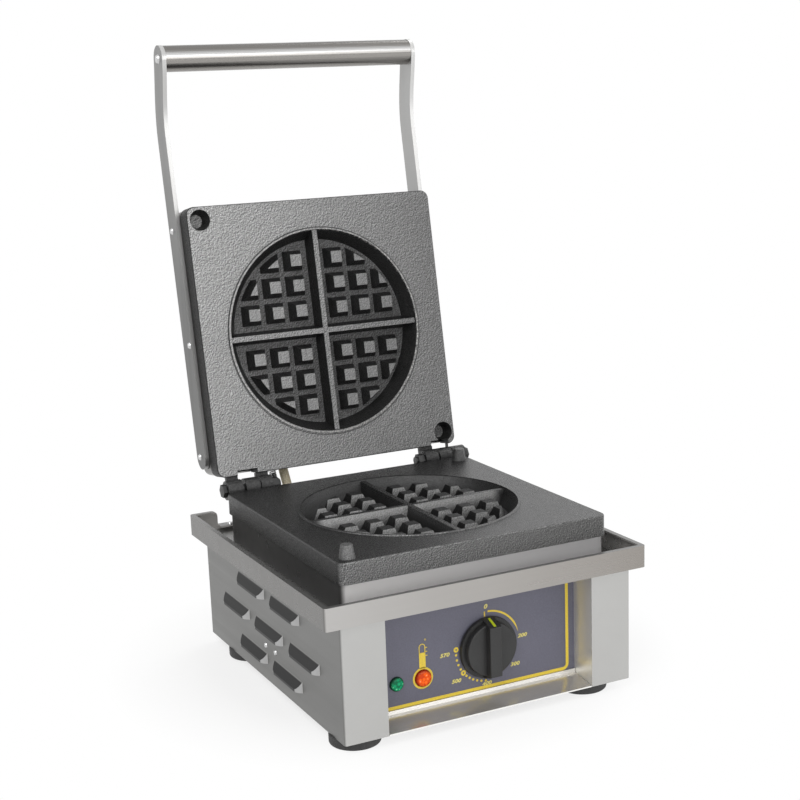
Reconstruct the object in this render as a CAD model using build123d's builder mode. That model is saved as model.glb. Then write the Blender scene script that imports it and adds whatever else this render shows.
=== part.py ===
"""Commercial waffle maker with round plates, its lid open on its stop.

Millimetres, +Z up, front towards -Y. The origin is on the floor under the middle of the
overall depth. Lid pieces are drawn closed and then opened about the hinge.
"""
import os
from math import cos, hypot, pi, radians, sin, tan

from build123d import *

os.makedirs("parts", exist_ok=True)

# Overall places. Depths are counted back from the tray's front face.
DEPTH_MID = 198.96
FLOOR_CLEARANCE = 9.0
SHEET = 1.2
SEAT = 0.3

# Body
BODY_INSET = 14.3
BODY_FRONT = 3.8
BODY_REAR = 313.5
BODY_TOP = 109.9
BODY_BEND = 2.5
POST_WIDTH = 39.6
FLANGE_WIDTH = 12.0
FASCIA_FRONT = 32.0
FASCIA_THICKNESS = 1.5
SILL_RISE = 3.9
SILL_LIP_TOP = 17.4

# Louvres pressed out of the side walls
LOUVRE_LENGTH = 61.5
LOUVRE_CAP = 9.5
LOUVRE_HEIGHT = 10.0
LOUVRE_PROUD = 5.0
LOUVRE_SHEET = 0.9
LOUVRE_PITCH = 39.5
LOUVRE_LIPS = (85.5, 54.5, 25.0)
LOUVRE_MIDDLE = 158.6
LOUVRE_LIP = 2.2
LOUVRE_BULGE = 0.72
LOUVRE_BOW = 1.2

# Vent slots in the rear panel
VENT_HEIGHTS = (48.0, 64.0, 80.0)
VENT_XS = (-60.0, 0.0)
VENT_LENGTH = 40.0
VENT_WIDTH = 5.0

# Drip tray
TRAY_WIDTH = 305.0
TRAY_DEPTH = 317.4
TRAY_TOP = 129.7
TRAY_RIM = 19.5
TRAY_SHEET = 1.5
TRAY_HEM = 4.5
TRAY_NOTCH_HALF = 125.0
TRAY_NOTCH_Z = 116.2
TRAY_CORNER = 3.0
TRAY_EAR = 6.0
TRAY_SHELF = 11.0
TRAY_OPENING_INSET = 20.0
TRAY_SCREW = 3.0
TRAY_SCREW_X = 114.0
TRAY_SCREW_INSET = 6.0

# Cooking plates
PLATE_WIDTH = 256.0
PLATE_DEPTH = 257.0
PLATE_FRONT = 22.3
PLATE_THICKNESS = 18.7
PLATE_TOP = 156.0
PLATE_CORNER = 8.0
PLATE_EDGE_ROUND = 1.5
FACE_GAP = 2.0
CAVITY_RADIUS = 98.5
CAVITY_DEPTH = 14.5
CAVITY_FLOOR_RADIUS = 90.0
BEAD_WIDTH = 2.5
BEAD_PROUD = 0.8
RIB_TOP = 5.0
RIB_DRAFT = 14.0
RIB_DROP = 1.0
PEG_BASE = 19.5
PEG_TOP = 11.3
PEG_HEIGHT = 11.0
PEG_FIRST = 21.5
PEG_PITCH = 24.5
PEG_LIMIT = 87.0
PIN_X = 115.2
PIN_FRONT = 35.2
PIN_REAR = 266.4
PIN_BASE = 7.0
PIN_TIP = 5.0
PIN_HEIGHT = 11.5
PIN_SHANK = 4.0
PIN_SHANK_DEPTH = 8.0
PIN_FIT = 0.05
SOCKET_MOUTH = 10.0
SOCKET_FLOOR = 6.2
SOCKET_DEPTH = 12.5

# Hinges
HINGE_BACK = 291.3
HINGE_Z = 154.74
OPEN_ANGLE = 100.0
KNUCKLE_RADIUS = 9.2
BOLT_RADIUS = 4.0
BOLT_FIT = 0.05
BOLT_HEAD = 6.6
BOLT_HEAD_THICKNESS = 3.8
BOLT_TIP = 9.0
BOLT_NUT = 6.5
LEFT_KNUCKLE_INSETS = ((4.5, 19.6), (22.6, 37.0), (38.0, 50.4))
RIGHT_KNUCKLE_INSETS = ((-5.0, 9.1), (10.9, 24.7), (26.4, 40.6))
KNUCKLE_NOTCH = 5.0

# Lid casing, arms and handle, as closed
CASING_HEIGHT = 25.0
CASING_INSET = 0.7
ARM_THICKNESS = 4.0
ARM_WIDTH = 24.0
ARM_BEND = -45.0
ARM_END = 271.0
HANDLE_BACK = -118.0
HANDLE_Z = 172.0
HANDLE_RADIUS = 12.2
HANDLE_WALL = 1.5
ARM_END_RADIUS = 12.6
ARM_SCREW_BACKS = (41.0, 151.0, 259.0)
ARM_SCREW_DROPS = (9.0, 19.0, 9.0)
SCREW_HEAD = 3.2
SCREW_PROUD = 1.4
ARM_SCREW = 1.9
HANDLE_SCREW = 2.9
HANDLE_SCREW_HEAD = 4.4
HANDLE_SCREW_PROUD = 1.8
HANDLE_SCREW_LENGTH = 14.0
HANDLE_PLUG = 16.0
ARM_SCREW_LENGTH = 12.0
STRIP_FRONT = 32.0
STRIP_REAR = 268.0
STRIP_THICKNESS = 3.0

# Controls on the fascia
KNOB_X = 10.6
KNOB_Z = 55.2
KNOB_SKIRT = 27.5
KNOB_SKIRT_THICKNESS = 2.5
KNOB_DOME = 24.0
KNOB_DOME_FRONT = 22.5
KNOB_BAR_FRONT = 16.0
KNOB_BAR_WIDTH = 11.3
KNOB_BAR_HALF = 22.0
SHAFT_RADIUS = 3.0
GREEN_LAMP_INSET = 21.6
LAMP_PITCH = 25.0
LAMP_Z = 40.0
GREEN_LENS = 6.4
AMBER_LENS = 7.6
LAMP_BODY = 4.8
NOSE_RADIUS = 4.8
NUT_THICKNESS = 1.2
SHAFT_GRIP = 7.0
SHAFT_DEPTH = 12.0
GREEN_RISE = 3.0
AMBER_RISE = 3.2
LAMP_DEPTH = 24.0
SWITCH_HALF_WIDTH = 19.0
SWITCH_HALF_HEIGHT = 17.0
SWITCH_DEPTH = 34.0
SWITCH_NUT = 8.0

# Feet
FOOT_RADIUS = 22.0
FOOT_LEFT_INSET = 20.2
FOOT_RIGHT_INSET = 34.2
FOOT_FRONT = 29.0
FOOT_REAR = 260.0
FOOT_SCREW = 2.5
FOOT_SCREW_DEPTH = 4.8
FOOT_SCREW_HEAD = 2.2

# Mains cable gland in the rear panel, and the screws of the side walls as (depth, height)
GLAND_X = 96.0
GLAND_Z = 34.0
GLAND_THREAD = 8.0
GLAND_BORE = 4.6
GLAND_OUT = 16.0
GLAND_LENGTH = 28.0
GLAND_FLANGE = 13.0
GLAND_FLANGE_DEPTH = 6.0
GLAND_CAP = 11.0
GLAND_CAP_DEPTH = 8.0
GLAND_NUT = 12.5
GLAND_NUT_DEPTH = 4.0
SIDE_SCREWS = ((169.4, 42.1), (147.0, 42.4))
SIDE_SCREW = 2.6
SIDE_SCREW_PROUD = 1.0

# Collar, heating and insulation under the lower plate
COLLAR_INSET = 2.0
COLLAR_FLANGE = 6.0
STANDOFF_RADIUS = 4.0
STANDOFF_INSET = 13.0
ELEMENT_RADIUS = 4.0
ELEMENT_HALF = 78.0
ELEMENT_BEND = 12.0
ELEMENT_GATE = 22.0
ELEMENT_TAIL = 16.0
STUD_RADIUS = 2.5
STUD_REACH = 52.0
STUD_HEAD = 2.5
SHEET_DROP = 8.5
CLAMP_SHEET = 2.0
PAD_THICKNESS = 10.0
CLAMP_INSET = 30.0
LOWER_PAD_INSET = 22.0
UPPER_PAD_INSET = 14.0

# Spring and sleeve that run from the tray to the lid's rear wall
SPRING_X = -64.0
SLEEVE_X = -52.5
LINK_LOW_BACK = 289.7
LINK_LEAN = 33.2
LINK_LENGTH = 56.4
SPRING_RADIUS = 2.9
SPRING_WIRE = 0.55
SPRING_PITCH = 1.7
SPRING_START = 3.0
SLEEVE_RADIUS = 4.6
ANCHOR_RADIUS = 4.3
ANCHOR_TOP = 1.6
FERRULE_LENGTH = 12.0

# Derived places
BODY_HALF_WIDTH = TRAY_WIDTH / 2 - BODY_INSET
FOOT_LEFT_X = FOOT_LEFT_INSET - BODY_HALF_WIDTH
FOOT_RIGHT_X = BODY_HALF_WIDTH - FOOT_RIGHT_INSET
TRAY_BOTTOM = TRAY_TOP - TRAY_RIM
TRAY_FLOOR = TRAY_BOTTOM + TRAY_SHEET
PLATE_UNDER = PLATE_TOP - PLATE_THICKNESS
UPPER_FACE = PLATE_TOP + FACE_GAP
UPPER_BACK = UPPER_FACE + PLATE_THICKNESS
CASING_LOW = UPPER_BACK + SEAT
CASING_TOP = CASING_LOW + CASING_HEIGHT
POST_INNER = BODY_HALF_WIDTH - POST_WIDTH
GREEN_LAMP_X = GREEN_LAMP_INSET - POST_INNER
AMBER_LAMP_X = GREEN_LAMP_X + LAMP_PITCH
LEFT_KNUCKLES = [tuple(inset - PLATE_WIDTH / 2 for inset in pair) for pair in LEFT_KNUCKLE_INSETS]
RIGHT_KNUCKLES = [tuple(PLATE_WIDTH / 2 - inset for inset in pair) for pair in RIGHT_KNUCKLE_INSETS]
ARM_INNER = PLATE_WIDTH / 2 + 0.1
ARM_OUTER = ARM_INNER + ARM_THICKNESS


def back(depth):
    """Y of a place this far behind the tray's front face."""
    return depth - DEPTH_MID


HINGE_Y = back(HINGE_BACK)
PLATE_MID = back(PLATE_FRONT + PLATE_DEPTH / 2)
PLATE_REAR = back(PLATE_FRONT + PLATE_DEPTH)
PIN_PLACES = ((-PIN_X, back(PIN_FRONT)), (PIN_X, back(PIN_REAR)))
HINGE_AXIS = Axis((0, HINGE_Y, HINGE_Z), (1, 0, 0))
STUD_PLACES = [(x, PLATE_MID + y) for x in (-STUD_REACH, STUD_REACH) for y in (-STUD_REACH, STUD_REACH)]
PAD_DROP = SHEET_DROP + CLAMP_SHEET + SEAT
FOOT_PLACES = [(x, back(y)) for x in (FOOT_LEFT_X, FOOT_RIGHT_X) for y in (FOOT_FRONT, FOOT_REAR)]
ARM_SCREW_PLACES = [(back(d), CASING_TOP - drop) for d, drop in zip(ARM_SCREW_BACKS, ARM_SCREW_DROPS)]
KNOB_REAR = back(FASCIA_FRONT) - NUT_THICKNESS - SEAT
KNOB_FACE = KNOB_REAR - KNOB_SKIRT_THICKNESS
KNOB_BAR_OUTLINE = [(KNOB_FACE + 0.5, KNOB_Z + KNOB_SKIRT - 0.8),
                    (KNOB_FACE + 0.5, KNOB_Z - KNOB_SKIRT + 0.8),
                    (back(KNOB_BAR_FRONT), KNOB_Z - KNOB_BAR_HALF - 0.6),
                    (back(KNOB_BAR_FRONT), KNOB_Z + KNOB_BAR_HALF)]


def save(part, name):
    """Name one sub-part and write it to its STEP file."""
    part.label = name
    export_step(part, f"parts/{name}.step")
    print(f"{name:24s} {part.volume:12.1f} mm3  {len(part.solids())} solid(s)")


def open_lid(part):
    """A lid piece turned from closed to the photographed open pose."""
    return part.rotate(HINGE_AXIS, -OPEN_ANGLE)


def block(x0, x1, y0, y1, z0, z1):
    """Plain block between two corners, for adding to or cutting from a piece."""
    centre = ((x0 + x1) / 2, (y0 + y1) / 2, (z0 + z1) / 2)
    size = (abs(x1 - x0), abs(y1 - y0), abs(z1 - z0))
    return Pos(*centre) * Solid.make_box(*size).moved(Location((-size[0] / 2, -size[1] / 2, -size[2] / 2)))


def louvre(grow):
    """Hood on the +X side of x = 0 with its lip at z = 0; negative grow gives its inside."""
    with BuildPart(mode=Mode.PRIVATE) as hood:
        with BuildSketch(Plane.XZ):
            with BuildLine():
                Polyline((-SHEET, 0), (LOUVRE_PROUD + grow, 0), (LOUVRE_PROUD + grow, LOUVRE_LIP + grow),
                         (0, LOUVRE_HEIGHT + grow), (-SHEET, LOUVRE_HEIGHT + grow), close=True)
            make_face()
        extrude(amount=LOUVRE_LENGTH / 2 + grow, both=True)
        with BuildSketch(Plane.XY):
            with BuildLine():
                half = LOUVRE_LENGTH / 2 + grow
                inner = half - LOUVRE_CAP
                outer = LOUVRE_PROUD + grow
                Line((-SHEET, -half), (0, -half))
                bow = (half + inner) / 2 + LOUVRE_BOW
                ThreePointArc((0, -half), (outer * LOUVRE_BULGE, -bow), (outer, -inner))
                Line((outer, -inner), (outer, inner))
                ThreePointArc((outer, inner), (outer * LOUVRE_BULGE, bow), (0, half))
                Polyline((0, half), (-SHEET, half), (-SHEET, -half))
            make_face()
        extrude(amount=LOUVRE_HEIGHT * 2, both=True, mode=Mode.INTERSECT)
    return hood.part


def louvre_places():
    """Centre Y and lip Z of the seven louvres, in rows of two, three and two."""
    places = []
    for row, lip in enumerate(LOUVRE_LIPS):
        steps = (-2, 0, 2) if row == 1 else (-1, 1)
        for step in steps:
            places.append((back(LOUVRE_MIDDLE + step * LOUVRE_PITCH), lip))
    return places


def side_wall(side):
    """Side sheet folded round the front post, with louvres; side is -1 or +1."""
    outer = side * BODY_HALF_WIDTH
    inner = side * POST_INNER
    front = back(BODY_FRONT)
    rear = back(BODY_REAR)
    turn = 180 if side < 0 else 0
    with BuildPart() as wall:
        add(block(outer, outer - side * SHEET, front, rear, FLOOR_CLEARANCE, BODY_TOP))
        add(block(outer, inner, front, front + SHEET, FLOOR_CLEARANCE, BODY_TOP))
        corner = wall.edges().filter_by(Axis.Z).sort_by(Axis.Y)[:4].sort_by(Axis.X)
        fillet(corner[0] if side < 0 else corner[-1], radius=BODY_BEND)
        add(block(inner, inner + side * SHEET, front, back(FASCIA_FRONT), FLOOR_CLEARANCE, BODY_TOP))
        flange_edge = outer - side * FLANGE_WIDTH
        add(block(outer - side * SHEET / 2, flange_edge, front + BODY_BEND, rear - SHEET,
                  FLOOR_CLEARANCE, FLOOR_CLEARANCE + SHEET))
        for y, z in louvre_places():
            add(Pos(outer, y, z) * Rot(0, 0, turn) * louvre(0))
        for y, z in louvre_places():
            add(Pos(outer, y, z) * Rot(0, 0, turn) * louvre(-LOUVRE_SHEET), mode=Mode.SUBTRACT)
            add(block(outer - side * SHEET * 1.5, outer + side * (LOUVRE_PROUD - LOUVRE_SHEET),
                      y - LOUVRE_LENGTH / 2 + LOUVRE_CAP, y + LOUVRE_LENGTH / 2 - LOUVRE_CAP,
                      z - 0.5, z + 0.5), mode=Mode.SUBTRACT)
    return wall.part


def base_pan():
    """Bottom sheet between the side flanges, with tabs into the front posts."""
    edge = BODY_HALF_WIDTH - FLANGE_WIDTH - SEAT
    top = FLOOR_CLEARANCE + SHEET
    with BuildPart() as pan:
        add(block(-edge, edge, back(FASCIA_FRONT + FASCIA_THICKNESS + 1), back(BODY_REAR - SHEET - SEAT),
                  FLOOR_CLEARANCE, top))
        for side in (-1, 1):
            add(block(side * (POST_INNER + SHEET + SEAT), side * edge, back(BODY_FRONT + SHEET + SEAT),
                      back(FASCIA_FRONT + FASCIA_THICKNESS + 2), FLOOR_CLEARANCE, top))
        with BuildSketch(Plane.XY.offset(top)):
            with Locations(*FOOT_PLACES):
                Circle(FOOT_SCREW + 0.1)
        extrude(amount=-2 * SHEET, mode=Mode.SUBTRACT)
    return pan.part


def rear_panel():
    """Rear sheet with two rows of vent slots and the hole for the cable gland."""
    edge = BODY_HALF_WIDTH - SHEET - SEAT
    rear = back(BODY_REAR)
    with BuildPart() as panel:
        add(block(-edge, edge, rear - SHEET, rear, FLOOR_CLEARANCE, BODY_TOP))
        with BuildSketch(Plane.XZ.offset(-rear)):
            with Locations(*[(x, z) for x in VENT_XS for z in VENT_HEIGHTS]):
                SlotOverall(VENT_LENGTH, VENT_WIDTH)
            with Locations((GLAND_X, GLAND_Z)):
                Circle(GLAND_THREAD + 0.2)
        extrude(amount=SHEET * 2, mode=Mode.SUBTRACT)
    return panel.part


def sill():
    """Folded sheet that slopes from the front edge up to the fascia's foot."""
    front = back(BODY_FRONT)
    foot = back(FASCIA_FRONT) - SEAT
    edge = POST_INNER - SEAT
    with BuildPart() as piece:
        with BuildSketch(Plane.YZ):
            with BuildLine():
                Polyline((front, FLOOR_CLEARANCE), (foot, FLOOR_CLEARANCE + SILL_RISE), (foot, SILL_LIP_TOP),
                         (foot - SHEET, SILL_LIP_TOP), (foot - SHEET, FLOOR_CLEARANCE + SILL_RISE + SHEET),
                         (front, FLOOR_CLEARANCE + SHEET), close=True)
            make_face()
        extrude(amount=edge, both=True)
    return piece.part


def fascia():
    """Control panel with holes for the thermostat and the two lamps."""
    front = back(FASCIA_FRONT)
    with BuildPart() as panel:
        add(block(-POST_INNER, POST_INNER, front, front + FASCIA_THICKNESS,
                  FLOOR_CLEARANCE + SILL_RISE + SHEET, BODY_TOP))
        with BuildSketch(Plane.XZ.offset(-front)):
            with Locations((KNOB_X, KNOB_Z)):
                Circle(NOSE_RADIUS + 0.2)
            with Locations((GREEN_LAMP_X, LAMP_Z), (AMBER_LAMP_X, LAMP_Z)):
                Circle(LAMP_BODY + 0.2)
        extrude(amount=-FASCIA_THICKNESS * 2, mode=Mode.SUBTRACT)
    return panel.part


def drip_tray():
    """Tray with an upright hemmed rim and a low rear edge between two rounded ears."""
    mid = back(TRAY_DEPTH / 2)
    hem_z = TRAY_TOP - TRAY_SHEET
    with BuildPart() as tray:
        with BuildSketch(Plane.XY.offset(TRAY_BOTTOM)):
            with Locations((0, mid)):
                RectangleRounded(TRAY_WIDTH, TRAY_DEPTH, TRAY_CORNER)
        extrude(amount=TRAY_RIM)
        with BuildSketch(Plane.XY.offset(TRAY_FLOOR)):
            with Locations((0, mid)):
                RectangleRounded(TRAY_WIDTH - 2 * TRAY_SHEET, TRAY_DEPTH - 2 * TRAY_SHEET, TRAY_SHEET)
        extrude(amount=hem_z - TRAY_FLOOR, mode=Mode.SUBTRACT)
        with BuildSketch(Plane.XY.offset(hem_z)):
            with Locations((0, mid)):
                RectangleRounded(TRAY_WIDTH - 2 * TRAY_HEM, TRAY_DEPTH - 2 * TRAY_HEM, TRAY_SHEET)
        extrude(amount=TRAY_SHEET, mode=Mode.SUBTRACT)
        with BuildSketch(Plane.XZ.offset(-back(TRAY_DEPTH + 1))):
            with Locations((0, TRAY_NOTCH_Z)):
                Rectangle(2 * TRAY_NOTCH_HALF, TRAY_RIM, align=(Align.CENTER, Align.MIN))
            for side in (-1, 1):
                with Locations((side * (TRAY_NOTCH_HALF + TRAY_EAR / 2), TRAY_TOP - TRAY_EAR / 2)):
                    Rectangle(TRAY_EAR, TRAY_EAR)
                with Locations((side * (TRAY_NOTCH_HALF + TRAY_EAR), TRAY_TOP - TRAY_EAR)):
                    Circle(TRAY_EAR, mode=Mode.SUBTRACT)
        extrude(amount=TRAY_OPENING_INSET, mode=Mode.SUBTRACT)
        add(block(-TRAY_NOTCH_HALF, TRAY_NOTCH_HALF, back(TRAY_DEPTH - TRAY_SHELF), back(TRAY_DEPTH),
                  TRAY_NOTCH_Z - TRAY_SHEET, TRAY_NOTCH_Z))
        with BuildSketch(Plane.XY.offset(TRAY_BOTTOM)):
            with Locations((0, PLATE_MID)):
                RectangleRounded(PLATE_WIDTH - 2 * TRAY_OPENING_INSET, PLATE_DEPTH - 2 * TRAY_OPENING_INSET,
                                 PLATE_CORNER)
        extrude(amount=TRAY_SHEET, mode=Mode.SUBTRACT)
    return tray.part


def plate_collar():
    """Upright sheet skirt between the tray's floor and the lower plate."""
    width = PLATE_WIDTH - 2 * COLLAR_INSET
    depth = PLATE_DEPTH - 2 * COLLAR_INSET
    with BuildPart() as collar:
        with BuildSketch(Plane.XY.offset(TRAY_FLOOR)):
            with Locations((0, PLATE_MID)):
                RectangleRounded(width, depth, PLATE_CORNER - 1)
                RectangleRounded(width - 2 * SHEET, depth - 2 * SHEET, PLATE_CORNER - 2,
                                 mode=Mode.SUBTRACT)
        extrude(amount=PLATE_UNDER - SEAT - TRAY_FLOOR)
        with BuildSketch(Plane.XY.offset(TRAY_FLOOR)):
            with Locations((0, PLATE_MID)):
                RectangleRounded(width - SHEET, depth - SHEET, PLATE_CORNER - 2)
                RectangleRounded(width - 2 * COLLAR_FLANGE, depth - 2 * COLLAR_FLANGE, PLATE_CORNER - 2,
                                 mode=Mode.SUBTRACT)
        extrude(amount=SHEET)
    return collar.part


def peg_places():
    """Centres of the pegs of all four quarters that fall inside the peg circle."""
    steps = [PEG_FIRST + i * PEG_PITCH for i in range(3)]
    near = PEG_BASE / 2
    return [(sx * x, sy * y) for x in steps for y in steps for sx in (-1, 1) for sy in (-1, 1)
            if hypot(x - near, y - near) < PEG_LIMIT - 2]


def casting():
    """Cooking plate with its face up at z = 0: cavity, bead and cross ribs."""
    floor = -CAVITY_DEPTH
    wall_draft = 90 - Vector(CAVITY_RADIUS - CAVITY_FLOOR_RADIUS, CAVITY_DEPTH).get_angle(Vector(1, 0, 0))
    with BuildPart(mode=Mode.PRIVATE) as plate:
        with BuildSketch(Plane.XY.offset(-PLATE_THICKNESS)):
            RectangleRounded(PLATE_WIDTH, PLATE_DEPTH, PLATE_CORNER)
        extrude(amount=PLATE_THICKNESS)
        fillet(plate.faces().sort_by(Axis.Z)[-1].edges(), radius=PLATE_EDGE_ROUND)
        with BuildSketch(Plane.XY):
            Circle(CAVITY_RADIUS + BEAD_WIDTH)
        extrude(amount=BEAD_PROUD, taper=30)
        with BuildSketch(Plane.XY.offset(BEAD_PROUD)):
            Circle(CAVITY_RADIUS)
        extrude(amount=-BEAD_PROUD, mode=Mode.SUBTRACT)
        with BuildSketch(Plane.XY):
            Circle(CAVITY_RADIUS)
        extrude(amount=-CAVITY_DEPTH, taper=wall_draft, mode=Mode.SUBTRACT)
        foot = RIB_TOP / 2 + (CAVITY_DEPTH - RIB_DROP) * tan(radians(RIB_DRAFT))
        for plane in (Plane.YZ, Plane.XZ):
            with BuildSketch(plane):
                with BuildLine():
                    Polyline((-foot, floor), (foot, floor), (RIB_TOP / 2, -RIB_DROP),
                             (-RIB_TOP / 2, -RIB_DROP), close=True)
                make_face()
            extrude(amount=CAVITY_RADIUS + 1, both=True)
    return plate.part


def pegs():
    """All pegs of a plate whose face is at z = 0, each a cut-off pyramid, trimmed by the peg circle."""
    floor = -CAVITY_DEPTH
    draft = 90 - Vector((PEG_BASE - PEG_TOP) / 2, PEG_HEIGHT).get_angle(Vector(1, 0, 0))
    with BuildPart(mode=Mode.PRIVATE) as field:
        with BuildSketch(Plane.XY.offset(floor)):
            with Locations(*peg_places()):
                Rectangle(PEG_BASE, PEG_BASE)
        extrude(amount=PEG_HEIGHT, taper=draft)
        with BuildSketch(Plane.XY.offset(floor)):
            Circle(PEG_LIMIT)
        extrude(amount=PEG_HEIGHT, taper=draft, mode=Mode.INTERSECT)
    return field.part


def knuckle(span):
    """Solid hinge barrel between two X places."""
    length = abs(span[1] - span[0])
    return Pos(sum(span) / 2, HINGE_Y, HINGE_Z) * Rot(0, 90, 0) * Solid.make_cylinder(
        KNUCKLE_RADIUS, length).moved(Location((0, 0, -length / 2)))


def lower_plate():
    """Lower casting with the holes for its locating pins."""
    with BuildPart() as plate:
        add(Pos(0, PLATE_MID, PLATE_TOP) * casting())
        with BuildSketch(Plane.XY.offset(PLATE_TOP)):
            with Locations(*PIN_PLACES):
                Circle(PIN_SHANK + PIN_FIT)
        extrude(amount=-PIN_SHANK_DEPTH - 0.5, mode=Mode.SUBTRACT)
    return plate.part


def lower_pegs():
    """Pegs that print the lower half of the waffle."""
    return Pos(0, PLATE_MID, PLATE_TOP) * pegs()


def plate_pins():
    """Two tapered locating pins, their shanks pressed into the lower plate."""
    with BuildPart() as pins:
        for x, y in PIN_PLACES:
            add(Pos(x, y, PLATE_TOP) * Solid.make_cone(PIN_BASE, PIN_TIP, PIN_HEIGHT))
        fillet(pins.faces().group_by(Axis.Z)[-1].edges(), radius=0.8)
        with BuildSketch(Plane.XY.offset(PLATE_TOP)):
            with Locations(*PIN_PLACES):
                Circle(PIN_SHANK)
        extrude(amount=-PIN_SHANK_DEPTH)
    return pins.part


def lower_hinge_lugs():
    """Middle hinge barrels on the lower plate's rear face."""
    with BuildPart() as lugs:
        for knuckles in (LEFT_KNUCKLES, RIGHT_KNUCKLES):
            span = knuckles[1]
            add(knuckle(span))
            add(block(span[0], span[1], PLATE_REAR, HINGE_Y, HINGE_Z - KNUCKLE_RADIUS,
                      PLATE_TOP - PLATE_EDGE_ROUND))
        hinge_bore()
    return lugs.part


def hinge_bore():
    """Cut the running bore for both hinge bolts."""
    for knuckles in (LEFT_KNUCKLES, RIGHT_KNUCKLES):
        low = min(knuckles[0][0], knuckles[2][1]) - 2
        high = max(knuckles[0][0], knuckles[2][1]) + 2
        add(Pos((low + high) / 2, HINGE_Y, HINGE_Z) * Rot(0, 90, 0) * Solid.make_cylinder(
            BOLT_RADIUS, high - low).moved(Location((0, 0, -(high - low) / 2))), mode=Mode.SUBTRACT)


def upper_plate():
    """Upper casting with its pin sockets and a notch above each middle barrel."""
    with BuildPart() as plate:
        add(Pos(0, PLATE_MID, UPPER_FACE) * mirror(casting(), about=Plane.XY, mode=Mode.PRIVATE))
        for x, y in PIN_PLACES:
            add(Pos(x, y, UPPER_FACE) * Solid.make_cone(SOCKET_MOUTH, SOCKET_FLOOR, SOCKET_DEPTH),
                mode=Mode.SUBTRACT)
        for knuckles in (LEFT_KNUCKLES, RIGHT_KNUCKLES):
            middle = knuckles[1]
            add(block(min(middle) - 3, max(middle) + 3, PLATE_REAR - KNUCKLE_NOTCH, PLATE_REAR + 1,
                      UPPER_FACE - 1, UPPER_BACK + 1), mode=Mode.SUBTRACT)
    return open_lid(plate.part)


def upper_pegs():
    """Pegs that print the upper half of the waffle."""
    return open_lid(Pos(0, PLATE_MID, UPPER_FACE) * mirror(pegs(), about=Plane.XY))


def upper_hinge_lugs():
    """Outer hinge barrels on the upper plate's rear face."""
    half = PLATE_WIDTH / 2 - PLATE_CORNER
    with BuildPart() as lugs:
        for knuckles in (LEFT_KNUCKLES, RIGHT_KNUCKLES):
            for span in (knuckles[0], knuckles[2]):
                add(knuckle(span))
                add(block(max(min(span), -half), min(max(span), half), PLATE_REAR, HINGE_Y,
                          UPPER_FACE + PLATE_EDGE_ROUND, HINGE_Z + KNUCKLE_RADIUS))
        hinge_bore()
    return open_lid(lugs.part)


def hinge_bolts():
    """Hexagon-headed bolt of each hinge."""
    with BuildPart() as bolts:
        for knuckles in (LEFT_KNUCKLES, RIGHT_KNUCKLES):
            side = -1 if knuckles[0][0] < 0 else 1
            head = knuckles[0][0] + side * SEAT
            tip = knuckles[2][1] - side * BOLT_TIP
            with BuildSketch(Plane.YZ.offset(head)):
                with Locations((HINGE_Y, HINGE_Z)):
                    RegularPolygon(BOLT_HEAD, 6)
            extrude(amount=side * BOLT_HEAD_THICKNESS)
            with BuildSketch(Plane.YZ.offset(head)):
                with Locations((HINGE_Y, HINGE_Z)):
                    Circle(BOLT_RADIUS - BOLT_FIT)
            extrude(amount=tip - head)
    return bolts.part


def hinge_nuts():
    """Nut on the inner end of each hinge bolt."""
    with BuildPart() as nuts:
        for knuckles in (LEFT_KNUCKLES, RIGHT_KNUCKLES):
            side = -1 if knuckles[0][0] < 0 else 1
            with BuildSketch(Plane.YZ.offset(knuckles[2][1] - side * SEAT)):
                with Locations((HINGE_Y, HINGE_Z)):
                    RegularPolygon(BOLT_HEAD, 6)
                    Circle(BOLT_RADIUS, mode=Mode.SUBTRACT)
            extrude(amount=-side * BOLT_NUT)
    return nuts.part


def lid_casing():
    """Pan-shaped cover on the upper plate's back."""
    width = PLATE_WIDTH - 2 * CASING_INSET
    depth = PLATE_DEPTH - 2 * CASING_INSET
    with BuildPart() as casing:
        with BuildSketch(Plane.XY.offset(CASING_LOW)):
            with Locations((0, PLATE_MID)):
                RectangleRounded(width, depth, PLATE_CORNER)
        extrude(amount=CASING_HEIGHT)
        top = casing.faces().sort_by(Axis.Z)[-1]
        fillet(top.edges(), radius=2.5)
        with BuildSketch(Plane.XY.offset(CASING_LOW)):
            with Locations((0, PLATE_MID)):
                RectangleRounded(width - 2 * SHEET, depth - 2 * SHEET, PLATE_CORNER - SHEET)
        extrude(amount=CASING_HEIGHT - SHEET, mode=Mode.SUBTRACT)
    return open_lid(casing.part)


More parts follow.
